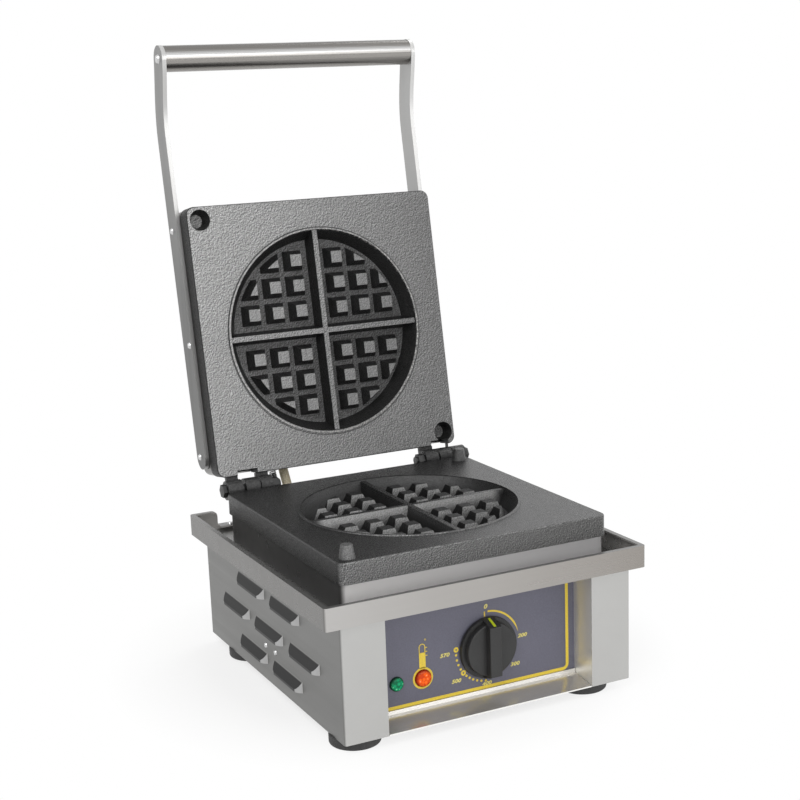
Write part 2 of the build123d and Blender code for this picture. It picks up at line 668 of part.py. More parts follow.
def arm(side):
    """Flat lid arm: straight beside the casing, then bent down to the handle."""
    centre_z = CASING_TOP - ARM_WIDTH / 2
    half = ARM_WIDTH / 2
    bend = back(ARM_BEND)
    end = back(ARM_END)
    tip = back(HANDLE_BACK)
    lean = Vector(bend - tip, centre_z - HANDLE_Z).normalized()
    across = Vector(-lean.Y, lean.X) * ARM_END_RADIUS
    nose = Vector(tip, HANDLE_Z)
    with BuildPart() as piece:
        with BuildSketch(Plane.YZ.offset(side * ARM_INNER)):
            with BuildLine():
                upper = nose + across
                lower = nose - across
                ThreePointArc((lower.X, lower.Y), (nose.X - lean.X * ARM_END_RADIUS,
                              nose.Y - lean.Y * ARM_END_RADIUS), (upper.X, upper.Y))
                Spline((upper.X, upper.Y), (bend, CASING_TOP), tangents=((lean.X, lean.Y), (1, 0)))
                Line((bend, CASING_TOP), (end - half, CASING_TOP))
                ThreePointArc((end - half, CASING_TOP), (end, centre_z), (end - half, CASING_TOP - ARM_WIDTH))
                Line((end - half, CASING_TOP - ARM_WIDTH), (bend, CASING_TOP - ARM_WIDTH))
                Spline((bend, CASING_TOP - ARM_WIDTH), (lower.X, lower.Y),
                       tangents=((-1, 0), (-lean.X, -lean.Y)))
            make_face()
            with Locations((nose.X, nose.Y)):
                Circle(HANDLE_SCREW, mode=Mode.SUBTRACT)
            for depth, drop in zip(ARM_SCREW_BACKS, ARM_SCREW_DROPS):
                with Locations((back(depth), CASING_TOP - drop)):
                    Circle(ARM_SCREW, mode=Mode.SUBTRACT)
        extrude(amount=side * ARM_THICKNESS)
    return open_lid(piece.part)


def handle_tube():
    """Round tube between the two arms."""
    with BuildPart() as tube:
        with BuildSketch(Plane.YZ):
            with Locations((back(HANDLE_BACK), HANDLE_Z)):
                Circle(HANDLE_RADIUS)
                Circle(HANDLE_RADIUS - HANDLE_WALL, mode=Mode.SUBTRACT)
        extrude(amount=ARM_INNER, both=True)
    return open_lid(tube.part)


def handle_plugs():
    """Threaded plug in each end of the handle tube."""
    with BuildPart() as plugs:
        for side in (-1, 1):
            with BuildSketch(Plane.YZ.offset(side * ARM_INNER)):
                with Locations((back(HANDLE_BACK), HANDLE_Z)):
                    Circle(HANDLE_RADIUS - HANDLE_WALL)
                    Circle(HANDLE_SCREW, mode=Mode.SUBTRACT)
            extrude(amount=-side * HANDLE_PLUG)
    return open_lid(plugs.part)


def arm_fasteners(places, shank, length, head, proud):
    """Domed screws driven inwards through both arms."""
    with BuildPart() as screws:
        for side in (-1, 1):
            for y, z in places:
                with BuildSketch(Plane.YZ.offset(side * ARM_OUTER)):
                    with Locations((y, z)):
                        Circle(head)
                extrude(amount=side * proud, taper=30)
                with BuildSketch(Plane.YZ.offset(side * ARM_OUTER)):
                    with Locations((y, z)):
                        Circle(shank)
                extrude(amount=-side * length)
    return open_lid(screws.part)


def arm_brackets():
    """Nut strips inside the casing that the arm screws grip."""
    inner = PLATE_WIDTH / 2 - CASING_INSET - SHEET
    with BuildPart() as strips:
        for side in (-1, 1):
            add(block(side * inner, side * (inner - STRIP_THICKNESS), back(STRIP_FRONT), back(STRIP_REAR),
                      CASING_LOW + 2, CASING_TOP - 5))
            for depth, drop in zip(ARM_SCREW_BACKS, ARM_SCREW_DROPS):
                add(screw_hole(side, back(depth), CASING_TOP - drop), mode=Mode.SUBTRACT)
    return open_lid(strips.part)


def screw_hole(side, y, z):
    """Cylinder along X that clears an arm screw."""
    length = 20.0
    return Pos(side * (ARM_OUTER - length / 2), y, z) * Rot(0, 90, 0) * Solid.make_cylinder(
        ARM_SCREW, length).moved(Location((0, 0, -length / 2)))


def cut_arm_screws(part):
    """The casing with clearance holes for the arm screws."""
    hinge_closed = part.rotate(HINGE_AXIS, OPEN_ANGLE)
    for side in (-1, 1):
        for depth, drop in zip(ARM_SCREW_BACKS, ARM_SCREW_DROPS):
            hinge_closed = hinge_closed - screw_hole(side, back(depth), CASING_TOP - drop)
    return open_lid(hinge_closed)


def element(z):
    """Bent tubular heater lying flat at height z, its tails to the rear."""
    half = ELEMENT_HALF
    gate = ELEMENT_GATE
    rear = half + ELEMENT_TAIL
    with BuildPart() as heater:
        with BuildLine(Plane.XY.offset(z)) as path:
            FilletPolyline((-gate, PLATE_MID + rear), (-gate, PLATE_MID + half), (-half, PLATE_MID + half),
                           (-half, PLATE_MID - half), (half, PLATE_MID - half), (half, PLATE_MID + half),
                           (gate, PLATE_MID + half), (gate, PLATE_MID + rear), radius=ELEMENT_BEND)
        start = Plane(origin=(-gate, PLATE_MID + rear, z), z_dir=(0, -1, 0))
        with BuildSketch(start):
            Circle(ELEMENT_RADIUS)
        sweep(path=path.wires()[0])
    return heater.part


def pad(z, thickness, inset):
    """Flat sheet or pad behind a cooking plate, with holes for its studs."""
    with BuildPart() as sheet:
        with BuildSketch(Plane.XY.offset(z)):
            with Locations((0, PLATE_MID)):
                RectangleRounded(PLATE_WIDTH - 2 * inset, PLATE_DEPTH - 2 * inset, PLATE_CORNER)
            with Locations(*STUD_PLACES):
                Circle(STUD_RADIUS + 0.2, mode=Mode.SUBTRACT)
        extrude(amount=thickness)
    return sheet.part


def studs(z, length):
    """Four studs on a cooking plate's back that hold its sheet and pad."""
    with BuildPart() as pins:
        with BuildSketch(Plane.XY.offset(z)):
            with Locations(*STUD_PLACES):
                Circle(STUD_RADIUS)
        extrude(amount=length)
        with BuildSketch(Plane.XY.offset(z + length)):
            with Locations(*STUD_PLACES):
                Circle(STUD_RADIUS * 2)
        extrude(amount=STUD_HEAD if length > 0 else -STUD_HEAD)
    return pins.part


def standoffs():
    """Posts that carry the lower plate above the tray's floor."""
    reach = PLATE_WIDTH / 2 - STANDOFF_INSET
    with BuildPart() as posts:
        with BuildSketch(Plane.XY.offset(TRAY_FLOOR)):
            with Locations((-reach, PLATE_MID - reach), (reach, PLATE_MID - reach),
                           (-reach, PLATE_MID + reach), (reach, PLATE_MID + reach)):
                Circle(STANDOFF_RADIUS)
        extrude(amount=PLATE_UNDER - TRAY_FLOOR)
    return posts.part


def feet():
    """Four round rubber feet, slightly narrower at the floor."""
    with BuildPart() as discs:
        with BuildSketch(Plane.XY):
            with Locations(*FOOT_PLACES):
                Circle(FOOT_RADIUS)
        extrude(amount=FLOOR_CLEARANCE)
        rims = discs.edges().filter_by(GeomType.CIRCLE)
        fillet(rims.group_by(Axis.Z)[0], radius=2.5)
        fillet(rims.group_by(Axis.Z)[-1], radius=1.0)
        with BuildSketch(Plane.XY.offset(FLOOR_CLEARANCE)):
            with Locations(*FOOT_PLACES):
                Circle(FOOT_SCREW + 0.1)
        extrude(amount=-FOOT_SCREW_DEPTH - 0.2, mode=Mode.SUBTRACT)
    return discs.part


def foot_screws():
    """Screw that holds each foot to the base pan."""
    top = FLOOR_CLEARANCE + SHEET
    with BuildPart() as screws:
        with BuildSketch(Plane.XY.offset(FLOOR_CLEARANCE - FOOT_SCREW_DEPTH)):
            with Locations(*FOOT_PLACES):
                Circle(FOOT_SCREW)
        extrude(amount=FOOT_SCREW_DEPTH + SHEET)
        with BuildSketch(Plane.XY.offset(top)):
            with Locations(*FOOT_PLACES):
                Circle(FOOT_SCREW * 1.6)
        extrude(amount=FOOT_SCREW_HEAD)
    return screws.part


def knob():
    """Round skirt, low dome and a grip bar whose upper end slopes to carry the pointer."""
    dome_depth = KNOB_FACE - back(KNOB_DOME_FRONT)
    with BuildPart() as grip:
        with BuildSketch(Plane.XZ.offset(-KNOB_REAR)):
            with Locations((KNOB_X, KNOB_Z)):
                Circle(KNOB_SKIRT)
        extrude(amount=KNOB_SKIRT_THICKNESS, taper=12)
        with BuildSketch(Plane.XZ.offset(-KNOB_FACE)):
            with Locations((KNOB_X, KNOB_Z)):
                Circle(KNOB_DOME)
        extrude(amount=dome_depth, taper=6)
        fillet(grip.faces().sort_by(Axis.Y)[0].edges(), radius=1.2)
        with BuildSketch(Plane.YZ.offset(KNOB_X)):
            with BuildLine():
                Polyline(*KNOB_BAR_OUTLINE, close=True)
            make_face()
        extrude(amount=KNOB_BAR_WIDTH / 2, both=True)
        fillet(grip.faces().sort_by(Axis.Y)[0].edges(), radius=1.0)
        with BuildSketch(Plane.XZ.offset(-KNOB_REAR)):
            with Locations((KNOB_X, KNOB_Z)):
                Circle(SHAFT_RADIUS)
        extrude(amount=SHAFT_GRIP, mode=Mode.SUBTRACT)
    return grip.part


def pointer():
    """Bright line lying on the slope of the knob's bar."""
    low = Vector(back(KNOB_BAR_FRONT), KNOB_Z + KNOB_BAR_HALF)
    high = Vector(KNOB_BAR_OUTLINE[0])
    run = (high - low).normalized()
    lift = Vector(-run.Y, run.X) * 0.5
    start = low + run * 1.6
    stop = high - run * 0.6
    with BuildPart() as line:
        with BuildSketch(Plane.YZ.offset(KNOB_X)):
            with BuildLine():
                Polyline((start.X, start.Y), (stop.X, stop.Y), (stop.X + lift.X, stop.Y + lift.Y),
                         (start.X + lift.X, start.Y + lift.Y), close=True)
            make_face()
        extrude(amount=1.1, both=True)
    return line.part


def round_bar(x, z, radius, y0, y1):
    """Round bar along Y between two places."""
    with BuildPart() as bar:
        with BuildSketch(Plane.XZ.offset(-y0)):
            with Locations((x, z)):
                Circle(radius)
        extrude(amount=y0 - y1)
    return bar.part


def thermostat_body():
    """Switch box behind the fascia with a threaded nose and a bore for the shaft."""
    inside = back(FASCIA_FRONT + FASCIA_THICKNESS)
    with BuildPart() as body:
        add(block(KNOB_X - SWITCH_HALF_WIDTH, KNOB_X + SWITCH_HALF_WIDTH, inside, inside + SWITCH_DEPTH,
                  KNOB_Z - SWITCH_HALF_HEIGHT, KNOB_Z + SWITCH_HALF_HEIGHT))
        fillet(body.edges().filter_by(Axis.Y), radius=3)
        add(round_bar(KNOB_X, KNOB_Z, NOSE_RADIUS, back(FASCIA_FRONT) - NUT_THICKNESS, inside + 1))
        add(round_bar(KNOB_X, KNOB_Z, SHAFT_RADIUS + 0.05, back(FASCIA_FRONT) - 5, inside + SHAFT_DEPTH + 1),
            mode=Mode.SUBTRACT)
    return body.part


def thermostat_nut():
    """Thin hexagon nut on the thermostat's nose, hidden by the knob."""
    with BuildPart() as nut:
        with BuildSketch(Plane.XZ.offset(-back(FASCIA_FRONT))):
            with Locations((KNOB_X, KNOB_Z)):
                RegularPolygon(SWITCH_NUT, 6)
                Circle(NOSE_RADIUS, mode=Mode.SUBTRACT)
        extrude(amount=NUT_THICKNESS)
    return nut.part


def thermostat_shaft():
    """Shaft that turns with the knob."""
    return round_bar(KNOB_X, KNOB_Z, SHAFT_RADIUS, KNOB_REAR - SHAFT_GRIP,
                     back(FASCIA_FRONT + FASCIA_THICKNESS) + SHAFT_DEPTH)


def lens(x, radius, depth):
    """Domed lamp lens standing on the fascia."""
    with BuildPart() as dome:
        with BuildSketch(Plane.XZ.offset(-back(FASCIA_FRONT))):
            with Locations((x, LAMP_Z)):
                Circle(radius)
        extrude(amount=depth)
        fillet(dome.faces().sort_by(Axis.Y)[0].edges(), radius=depth * 0.8)
    return dome.part


def lamp_bodies():
    """Neon lamp holders behind the two lenses."""
    with BuildPart() as holders:
        with BuildSketch(Plane.XZ.offset(-back(FASCIA_FRONT))):
            with Locations((GREEN_LAMP_X, LAMP_Z), (AMBER_LAMP_X, LAMP_Z)):
                Circle(LAMP_BODY)
        extrude(amount=-LAMP_DEPTH)
    return holders.part


def gland():
    """Cable gland through the rear panel, its cable bore empty."""
    rear = back(BODY_REAR)
    with BuildPart() as piece:
        with BuildSketch(Plane.XZ.offset(-(rear + GLAND_OUT))):
            with Locations((GLAND_X, GLAND_Z)):
                Circle(GLAND_THREAD)
        extrude(amount=GLAND_LENGTH)
        with BuildSketch(Plane.XZ.offset(-rear)):
            with Locations((GLAND_X, GLAND_Z)):
                RegularPolygon(GLAND_FLANGE, 6)
        extrude(amount=-GLAND_FLANGE_DEPTH)
        with BuildSketch(Plane.XZ.offset(-(rear + GLAND_OUT - GLAND_CAP_DEPTH))):
            with Locations((GLAND_X, GLAND_Z)):
                Circle(GLAND_CAP)
        extrude(amount=-GLAND_CAP_DEPTH, taper=8)
        with BuildSketch(Plane.XZ.offset(-(rear + GLAND_OUT + 1))):
            with Locations((GLAND_X, GLAND_Z)):
                Circle(GLAND_BORE)
        extrude(amount=GLAND_LENGTH + 4, mode=Mode.SUBTRACT)
    return piece.part


def gland_nut():
    """Lock nut of the cable gland inside the rear panel."""
    inside = back(BODY_REAR) - SHEET
    with BuildPart() as nut:
        with BuildSketch(Plane.XZ.offset(-inside)):
            with Locations((GLAND_X, GLAND_Z)):
                RegularPolygon(GLAND_NUT, 6)
                Circle(GLAND_THREAD, mode=Mode.SUBTRACT)
        extrude(amount=GLAND_NUT_DEPTH)
    return nut.part


def side_screws():
    """Two small screws on each side wall that hold the inner frame."""
    with BuildPart() as screws:
        for side in (-1, 1):
            with BuildSketch(Plane.YZ.offset(side * BODY_HALF_WIDTH)):
                with Locations(*[(back(depth), z) for depth, z in SIDE_SCREWS]):
                    Circle(SIDE_SCREW)
            extrude(amount=side * SIDE_SCREW_PROUD, taper=30)
    return screws.part


def tray_screws():
    """Screws that hold the tray's low rear edge to the body."""
    y = back(TRAY_DEPTH - TRAY_SCREW_INSET)
    with BuildPart() as screws:
        with BuildSketch(Plane.XY.offset(TRAY_NOTCH_Z)):
            with Locations((-TRAY_SCREW_X, y), (TRAY_SCREW_X, y)):
                Circle(TRAY_SCREW)
        extrude(amount=SCREW_PROUD, taper=25)
    return screws.part


def link_point(x, along):
    """Point on the leaning line from the tray's floor to the lid's rear wall."""
    return Vector(x, back(LINK_LOW_BACK) + along * sin(radians(LINK_LEAN)),
                  TRAY_FLOOR + along * cos(radians(LINK_LEAN)))


def link_plane(x, along):
    """Plane across that line."""
    return Plane(origin=link_point(x, along), x_dir=(1, 0, 0),
                 z_dir=(0, sin(radians(LINK_LEAN)), cos(radians(LINK_LEAN))))


def link_bar(x, radius, stop):
    """Round bar on the leaning line, its foot cut flat on the tray's floor."""
    with BuildPart() as bar:
        with BuildSketch(link_plane(x, -radius)):
            Circle(radius)
        extrude(amount=stop + radius)
        add(block(x - 20, x + 20, back(LINK_LOW_BACK - 20), back(LINK_LOW_BACK + 20),
                  TRAY_BOTTOM - 20, TRAY_FLOOR), mode=Mode.SUBTRACT)
    return bar.part


def lid_ferrules():
    """Short bosses on the lid casing's rear wall that hold the spring and the sleeve."""
    wall = back(PLATE_FRONT + PLATE_DEPTH - CASING_INSET)
    with BuildPart() as bosses:
        for x in (SPRING_X, SLEEVE_X):
            with BuildSketch(link_plane(x, LINK_LENGTH + SEAT)):
                Circle(SLEEVE_RADIUS)
            extrude(amount=FERRULE_LENGTH)
    closed = bosses.part.rotate(HINGE_AXIS, OPEN_ANGLE)
    return open_lid(closed - block(SPRING_X - 20, SLEEVE_X + 20, wall - 40, wall, CASING_LOW, CASING_TOP))


def spring_point(turns, base):
    """Point on the spring's wire after this many turns."""
    angle = 2 * pi * turns
    local = Vector(SPRING_RADIUS * cos(angle), SPRING_RADIUS * sin(angle), turns * SPRING_PITCH)
    return base.from_local_coords(local)


def lid_spring():
    """Fine coil spring, one unbroken wire with a straight end at each side."""
    base = link_plane(SPRING_X, SPRING_START)
    turns = int((LINK_LENGTH - SPRING_START - SPRING_WIRE) / SPRING_PITCH)
    steps = turns * 4
    marks = [spring_point(i / 4, base) for i in range(steps + 1)]
    middles = [spring_point((i + 0.5) / 4, base) for i in range(steps)]
    rise = SPRING_PITCH / (2 * pi * SPRING_RADIUS)
    first = base.to_local_coords(marks[0])
    last = base.to_local_coords(marks[-1])
    lead = 2 * SPRING_WIRE
    start = base.from_local_coords(first - Vector(0, lead, lead * rise))
    stop = base.from_local_coords(last + Vector(0, lead, lead * rise))
    edges = [Edge.make_line(start, marks[0])]
    edges += [Edge.make_three_point_arc(marks[i], middles[i], marks[i + 1]) for i in range(steps)]
    edges.append(Edge.make_line(marks[-1], stop))
    path = Wire(edges)
    with BuildPart() as spring:
        with BuildSketch(Plane(origin=start, z_dir=(marks[0] - start).normalized())):
            Circle(SPRING_WIRE)
        sweep(path=path)
    print("spring: curls", turns, "least gap between curls", round(spring_gap(turns, base), 3))
    return spring.part


def spring_gap(turns, base):
    """Least clear gap between the wire and itself, measured on points a turn or so apart."""
    fine = 24
    points = [spring_point(i / fine, base) for i in range(turns * fine + 1)]
    least = min((points[j] - points[i]).length for i in range(len(points))
                for j in range(i + fine // 2, min(i + 2 * fine, len(points))))
    return least - 2 * SPRING_WIRE


save(side_wall(-1), "left_side")
save(side_wall(1), "right_side")
save(base_pan(), "base_pan")
save(rear_panel(), "rear_panel")
save(sill(), "front_sill")
save(fascia(), "control_fascia")
save(drip_tray(), "drip_tray")
save(plate_collar(), "plate_collar")
save(standoffs(), "plate_standoffs")
save(lower_plate(), "lower_plate")
save(lower_pegs(), "lower_pegs")
save(plate_pins(), "plate_pins")
save(lower_hinge_lugs(), "lower_hinge_lugs")
save(element(PLATE_UNDER - ELEMENT_RADIUS - 0.2), "lower_element")
save(pad(PLATE_UNDER - SHEET_DROP - CLAMP_SHEET, CLAMP_SHEET, CLAMP_INSET), "lower_clamp_sheet")
save(pad(PLATE_UNDER - PAD_DROP - PAD_THICKNESS, PAD_THICKNESS, LOWER_PAD_INSET), "lower_insulation")
save(studs(PLATE_UNDER, -(PAD_DROP + PAD_THICKNESS + SEAT)), "lower_studs")
save(hinge_bolts(), "hinge_bolts")
save(hinge_nuts(), "hinge_nuts")
save(thermostat_body(), "thermostat_body")
save(thermostat_nut(), "thermostat_nut")
save(lens(GREEN_LAMP_X, GREEN_LENS, GREEN_RISE), "green_lamp")
save(lens(AMBER_LAMP_X, AMBER_LENS, AMBER_RISE), "amber_lamp")
save(lamp_bodies(), "lamp_holders")
save(gland(), "cable_gland")
save(gland_nut(), "gland_nut")
save(side_screws(), "side_screws")
save(tray_screws(), "tray_screws")
save(feet(), "feet")
save(foot_screws(), "foot_screws")
save(link_bar(SPRING_X, ANCHOR_RADIUS, ANCHOR_TOP), "spring_anchor")
save(lid_spring(), "lid_spring")
save(lid_ferrules(), "lid_ferrules")
save(link_bar(SLEEVE_X, SLEEVE_RADIUS, LINK_LENGTH), "cable_sleeve")
save(upper_plate(), "upper_plate")
save(upper_pegs(), "upper_pegs")
save(upper_hinge_lugs(), "upper_hinge_lugs")
save(cut_arm_screws(lid_casing()), "lid_casing")
save(open_lid(element(UPPER_BACK + ELEMENT_RADIUS + 0.2)), "upper_element")
save(open_lid(pad(UPPER_BACK + SHEET_DROP, CLAMP_SHEET, CLAMP_INSET)), "upper_clamp_sheet")
save(open_lid(pad(UPPER_BACK + PAD_DROP, PAD_THICKNESS, UPPER_PAD_INSET)), "upper_insulation")
save(open_lid(studs(UPPER_BACK, PAD_DROP + PAD_THICKNESS + SEAT)), "upper_studs")
save(arm(-1), "left_arm")
save(arm(1), "right_arm")
save(arm_brackets(), "arm_nut_strips")
save(arm_fasteners(ARM_SCREW_PLACES, ARM_SCREW, ARM_SCREW_LENGTH, SCREW_HEAD, SCREW_PROUD), "arm_screws")
save(handle_tube(), "handle_tube")
save(handle_plugs(), "handle_plugs")
save(arm_fasteners([(back(HANDLE_BACK), HANDLE_Z)], HANDLE_SCREW, HANDLE_SCREW_LENGTH,
                   HANDLE_SCREW_HEAD, HANDLE_SCREW_PROUD), "handle_screws")
save(knob(), "thermostat_knob")
save(pointer(), "knob_pointer")
save(thermostat_shaft(), "thermostat_shaft")
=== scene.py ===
"""Looks of a commercial waffle maker: brushed sheet, cast plates, printed control panel and studio."""

from math import cos, pi, radians, sin

import bpy
from mathutils import Matrix, Vector


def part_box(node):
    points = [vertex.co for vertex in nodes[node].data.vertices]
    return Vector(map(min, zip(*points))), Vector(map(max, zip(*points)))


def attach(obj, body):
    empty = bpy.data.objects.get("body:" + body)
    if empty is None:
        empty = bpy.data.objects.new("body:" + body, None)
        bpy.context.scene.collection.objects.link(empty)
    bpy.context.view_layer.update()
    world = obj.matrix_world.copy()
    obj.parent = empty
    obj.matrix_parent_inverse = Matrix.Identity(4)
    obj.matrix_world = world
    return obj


bl_info = {
    "name": "Waffle Maker Looks",
    "version": (1, 0, 0),
    "blender": (4, 2, 0),
    "location": "3D View > Sidebar > Waffle",
    "description": "Dresses the packed waffle maker with metal, cast iron and a printed control panel",
    "category": "Object",
}

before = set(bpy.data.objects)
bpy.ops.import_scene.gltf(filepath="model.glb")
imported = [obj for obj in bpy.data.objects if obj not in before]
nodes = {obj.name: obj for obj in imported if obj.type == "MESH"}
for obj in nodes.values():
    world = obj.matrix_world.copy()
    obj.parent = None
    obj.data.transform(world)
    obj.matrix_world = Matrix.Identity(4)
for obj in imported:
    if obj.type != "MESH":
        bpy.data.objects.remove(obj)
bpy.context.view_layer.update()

MM = 0.001


# Places on the object

def low_corner(name):
    """Corner of a node's box with the smallest x, y and z."""
    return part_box(name)[0]


def high_corner(name):
    """Corner of a node's box with the largest x, y and z."""
    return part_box(name)[1]


def middle(name):
    """Middle of a node's box."""
    return (low_corner(name) + high_corner(name)) / 2


FASCIA_Y = low_corner("control_fascia").y
RECESS_WALL = high_corner("control_fascia").x + 1.5 * MM
DIAL = middle("thermostat_knob")
AMBER = middle("amber_lamp")
PLATE_TOP = high_corner("lower_plate").z

LEFT = (-1, 0, 0)
RIGHT = (1, 0, 0)
FORWARD = (0, -1, 0)
BACKWARD = (0, 1, 0)
UP = (0, 0, 1)
OPEN_FACE = (0, -0.985, 0.174)

# Radius of the lower plate's hollow, and radii between which a groove of painted shade and a knurled ring of
# painted highlights frame the upper grid
HOLLOW_RADIUS = 99.2 * MM
RING_START = 97.5 * MM
RING_STOP = 102.5 * MM

# Half the width over which painted shade on the castings grows from left to right
DIM_REACH = 130 * MM

# Viewpoint: angles in degrees, distances in metres, lens in millimetres, shifts in widths of the picture
AZIMUTH, ELEVATION, ROLL = -26.6, 13.4, -2.0
TARGET = (0.0062, -0.04216, 0.2129)
DISTANCE = 1.391
LENS, SENSOR_WIDTH = 69.5, 36.0
SHIFT_X, SHIFT_Y = -0.0125, 0.05
FAR_CLIP = 20.0

# Studio, in metres: the radii between which the floor fades to white, and each lamp's name, place, width
# and power in watts
FLOOR_SIZE = 12.0
FADE_START, FADE_STOP = 0.17, 0.27
NEAR_WHITE = 0.7
AIR_COLOUR = (1, 0.995, 0.985, 1)
AIR_STRENGTH = 0.55
LAMP_AIM = (0, 0, 0.2)
LAMPS = (
    ("key", (-1.5, -1.2, 2.3), 1.6, 34.0),
    ("front", (0.5, -2.4, 1.0), 1.5, 12.0),
    ("rim", (1.6, 0.9, 1.9), 1.2, 14.0),
)

# Print on the panel: angles in degrees, clockwise from the top, and each number's text, place in millimetres
# across and up, and relative height
PRINT_LIFT = 0.12 * MM
PRINT_DEPTH = 0.1 * MM
DOT_ANGLES = (192.5, 200.5, 208.5, 216, 223.5, 240, 249, 258, 267, 184)
RING_ANGLES = (231.5, 276)
NUMBERS = (
    ("0", 9.5, 91.4, 1.15),
    ("200", 45.4, 58.6, 1),
    ("300", 37.6, 33.8, 1),
    ("400", 9.3, 21.9, 1),
    ("500", -20.4, 30.2, 1),
    ("570", -30.9, 55.6, 1),
)
FONT_SIZE = 1.42
FONT_SLANT = 0.22
FONT_WEIGHT = 0.2 * MM
FONT_SPACING = 1.08
FONT_STRETCH = 1.22

# Offset at which a casting's grain is compared with itself, so that each grain has a lit and a dark side
GRAIN_SHIFT = (0.5 * MM, 0.0, -0.6 * MM)

# How far brushed metal draws its gloss out along the lines
BRUSHED_PULL = 0.4

BLACK = (0, 0, 0)
WHITE = (1, 1, 1)


# Colours

def shade(value, tint=WHITE):
    """Linear colour of a screen grey of 0 to 255, with a slight tint."""
    screen_value = value / 255
    linear = screen_value / 12.92 if screen_value <= 0.04045 else ((screen_value + 0.055) / 1.055) ** 2.4
    return tuple(linear * part for part in tint)


def screen(red, green, blue):
    """Linear colour of a screen colour."""
    return tuple(shade(value)[0] for value in (red, green, blue))


def grey(value):
    """Linear grey."""
    return (value, value, value)


def darker(colour, share):
    """A share of a colour's brightness."""
    return tuple(share * part for part in colour)


# Shader helpers

class Recipe:
    """Node tree of one material, with short calls for the nodes used here."""

    def __init__(self, name, roughness, metallic=0.0):
        self.material = bpy.data.materials.new(name)
        self.material.use_nodes = True
        self.tree = self.material.node_tree
        self.tree.nodes.clear()
        self.out = self.node("OutputMaterial")
        self.shader = self.node("BsdfPrincipled")
        self.shader.inputs["Roughness"].default_value = roughness
        self.shader.inputs["Metallic"].default_value = metallic
        self.link(self.shader.outputs[0], self.out.inputs["Surface"])
        self.coords = self.node("TexCoord")

    def node(self, kind, **inputs):
        """New node with the values of its sockets."""
        node = self.tree.nodes.new("ShaderNode" + kind)
        for name, value in inputs.items():
            node.inputs[name.replace("_", " ")].default_value = value
        return node

    def link(self, source, target):
        """Join an output to an input."""
        self.tree.links.new(source, target)

    def fill(self, socket, value):
        """Give an input a number, a colour or another node's output."""
        if isinstance(value, (int, float)):
            socket.default_value = value
        elif isinstance(value, tuple):
            socket.default_value = (*value, 1)
        else:
            self.link(value, socket)

    def place(self, scale=(1, 1, 1), shift=(0, 0, 0)):
        """Object coordinates, stretched and then shifted."""
        mapping = self.node("Mapping", Scale=scale, Location=shift)
        self.link(self.coords.outputs["Object"], mapping.inputs["Vector"])
        return mapping.outputs["Vector"]

    def noise(self, scale, detail=4.0, rough=0.55, warp=0.0, where=None):
        """Cloudy pattern whose grains are about 1/scale metres wide."""
        node = self.node("TexNoise", Scale=scale, Detail=detail, Roughness=rough, Distortion=warp)
        self.link(where or self.place(), node.inputs["Vector"])
        return node.outputs["Fac"]

    def cells(self, scale, where=None):
        """Cell pattern: 0 in the middle of each cell."""
        node = self.node("TexVoronoi", Scale=scale)
        self.link(where or self.place(), node.inputs["Vector"])
        return node.outputs["Distance"]

    def ramp(self, value, stops):
        """Colour ramp; stops are (position, colour) pairs."""
        node = self.node("ValToRGB")
        band = node.color_ramp
        while len(band.elements) < len(stops):
            band.elements.new(0.5)
        for element, (position, colour) in zip(band.elements, stops):
            element.position = position
            element.color = (*colour, 1)
        self.link(value, node.inputs["Fac"])
        return node.outputs["Color"]

    def band(self, value, start, full, fading, stop):
        """White between full and fading, black before start and past stop."""
        return self.ramp(value, [(start, BLACK), (full, WHITE), (fading, WHITE), (stop, BLACK)])

    def spread(self, value, low, high, start=0.3, stop=0.7):
        """Map a value between start and stop to low and high."""
        node = self.node("MapRange", From_Min=start, From_Max=stop, To_Min=low, To_Max=high)
        self.link(value, node.inputs["Value"])
        return node.outputs["Result"]

    def rising(self, value, start, stop):
        """0 up to start, 1 from stop on."""
        return self.spread(value, 0.0, 1.0, start, stop)

    def sinking(self, value, start, stop):
        """1 up to start, 0 from stop on."""
        return self.spread(value, 1.0, 0.0, start, stop)

    def maths(self, kind, first, second):
        """Combine two values; sums and differences stay between 0 and 1."""
        node = self.node("Math")
        node.operation = kind
        node.use_clamp = kind in ("ADD", "SUBTRACT")
        self.fill(node.inputs[0], first)
        self.fill(node.inputs[1], second)
        return node.outputs[0]

    def both(self, first, second):
        """Product of two shares: where both hold."""
        return self.maths("MULTIPLY", first, second)

    def mix(self, share, first, second, kind="MIX"):
        """Blend two colours; each is a socket or a colour."""
        node = self.node("Mix")
        node.data_type = "RGBA"
        node.blend_type = kind
        self.fill(node.inputs[0], share)
        self.fill(node.inputs[6], first)
        self.fill(node.inputs[7], second)
        return node.outputs[2]

    def tinted(self, colour, tint, share=1.0):
        """Colour times a tint, by a share."""
        return self.mix(share, colour, tint, "MULTIPLY")

    def bump(self, height, strength, distance, chain=None):
        """Fine relief, on top of another one if there is a chain."""
        node = self.node("Bump", Strength=strength, Distance=distance)
        self.link(height, node.inputs["Height"])
        if chain is not None:
            self.link(chain, node.inputs["Normal"])
        return node.outputs["Normal"]

    def axis(self, name, where=None):
        """One coordinate of a vector, or of the place on the object."""
        node = self.node("SeparateXYZ")
        self.link(where or self.coords.outputs["Object"], node.inputs[0])
        return node.outputs[name]

    def across(self):
        """Distance from the object's middle plane."""
        return self.maths("ABSOLUTE", self.axis("X"), 0.0)

    def vector(self, kind, where):
        """Vector node of one kind."""
        node = self.node("VectorMath")
        node.operation = kind
        self.link(where, node.inputs[0])
        return node

    def along(self, direction, where=None):
        """Reach of a vector, or of the place on the object, along a direction."""
        node = self.vector("DOT_PRODUCT", where or self.coords.outputs["Object"])
        node.inputs[1].default_value = direction
        return node.outputs["Value"]

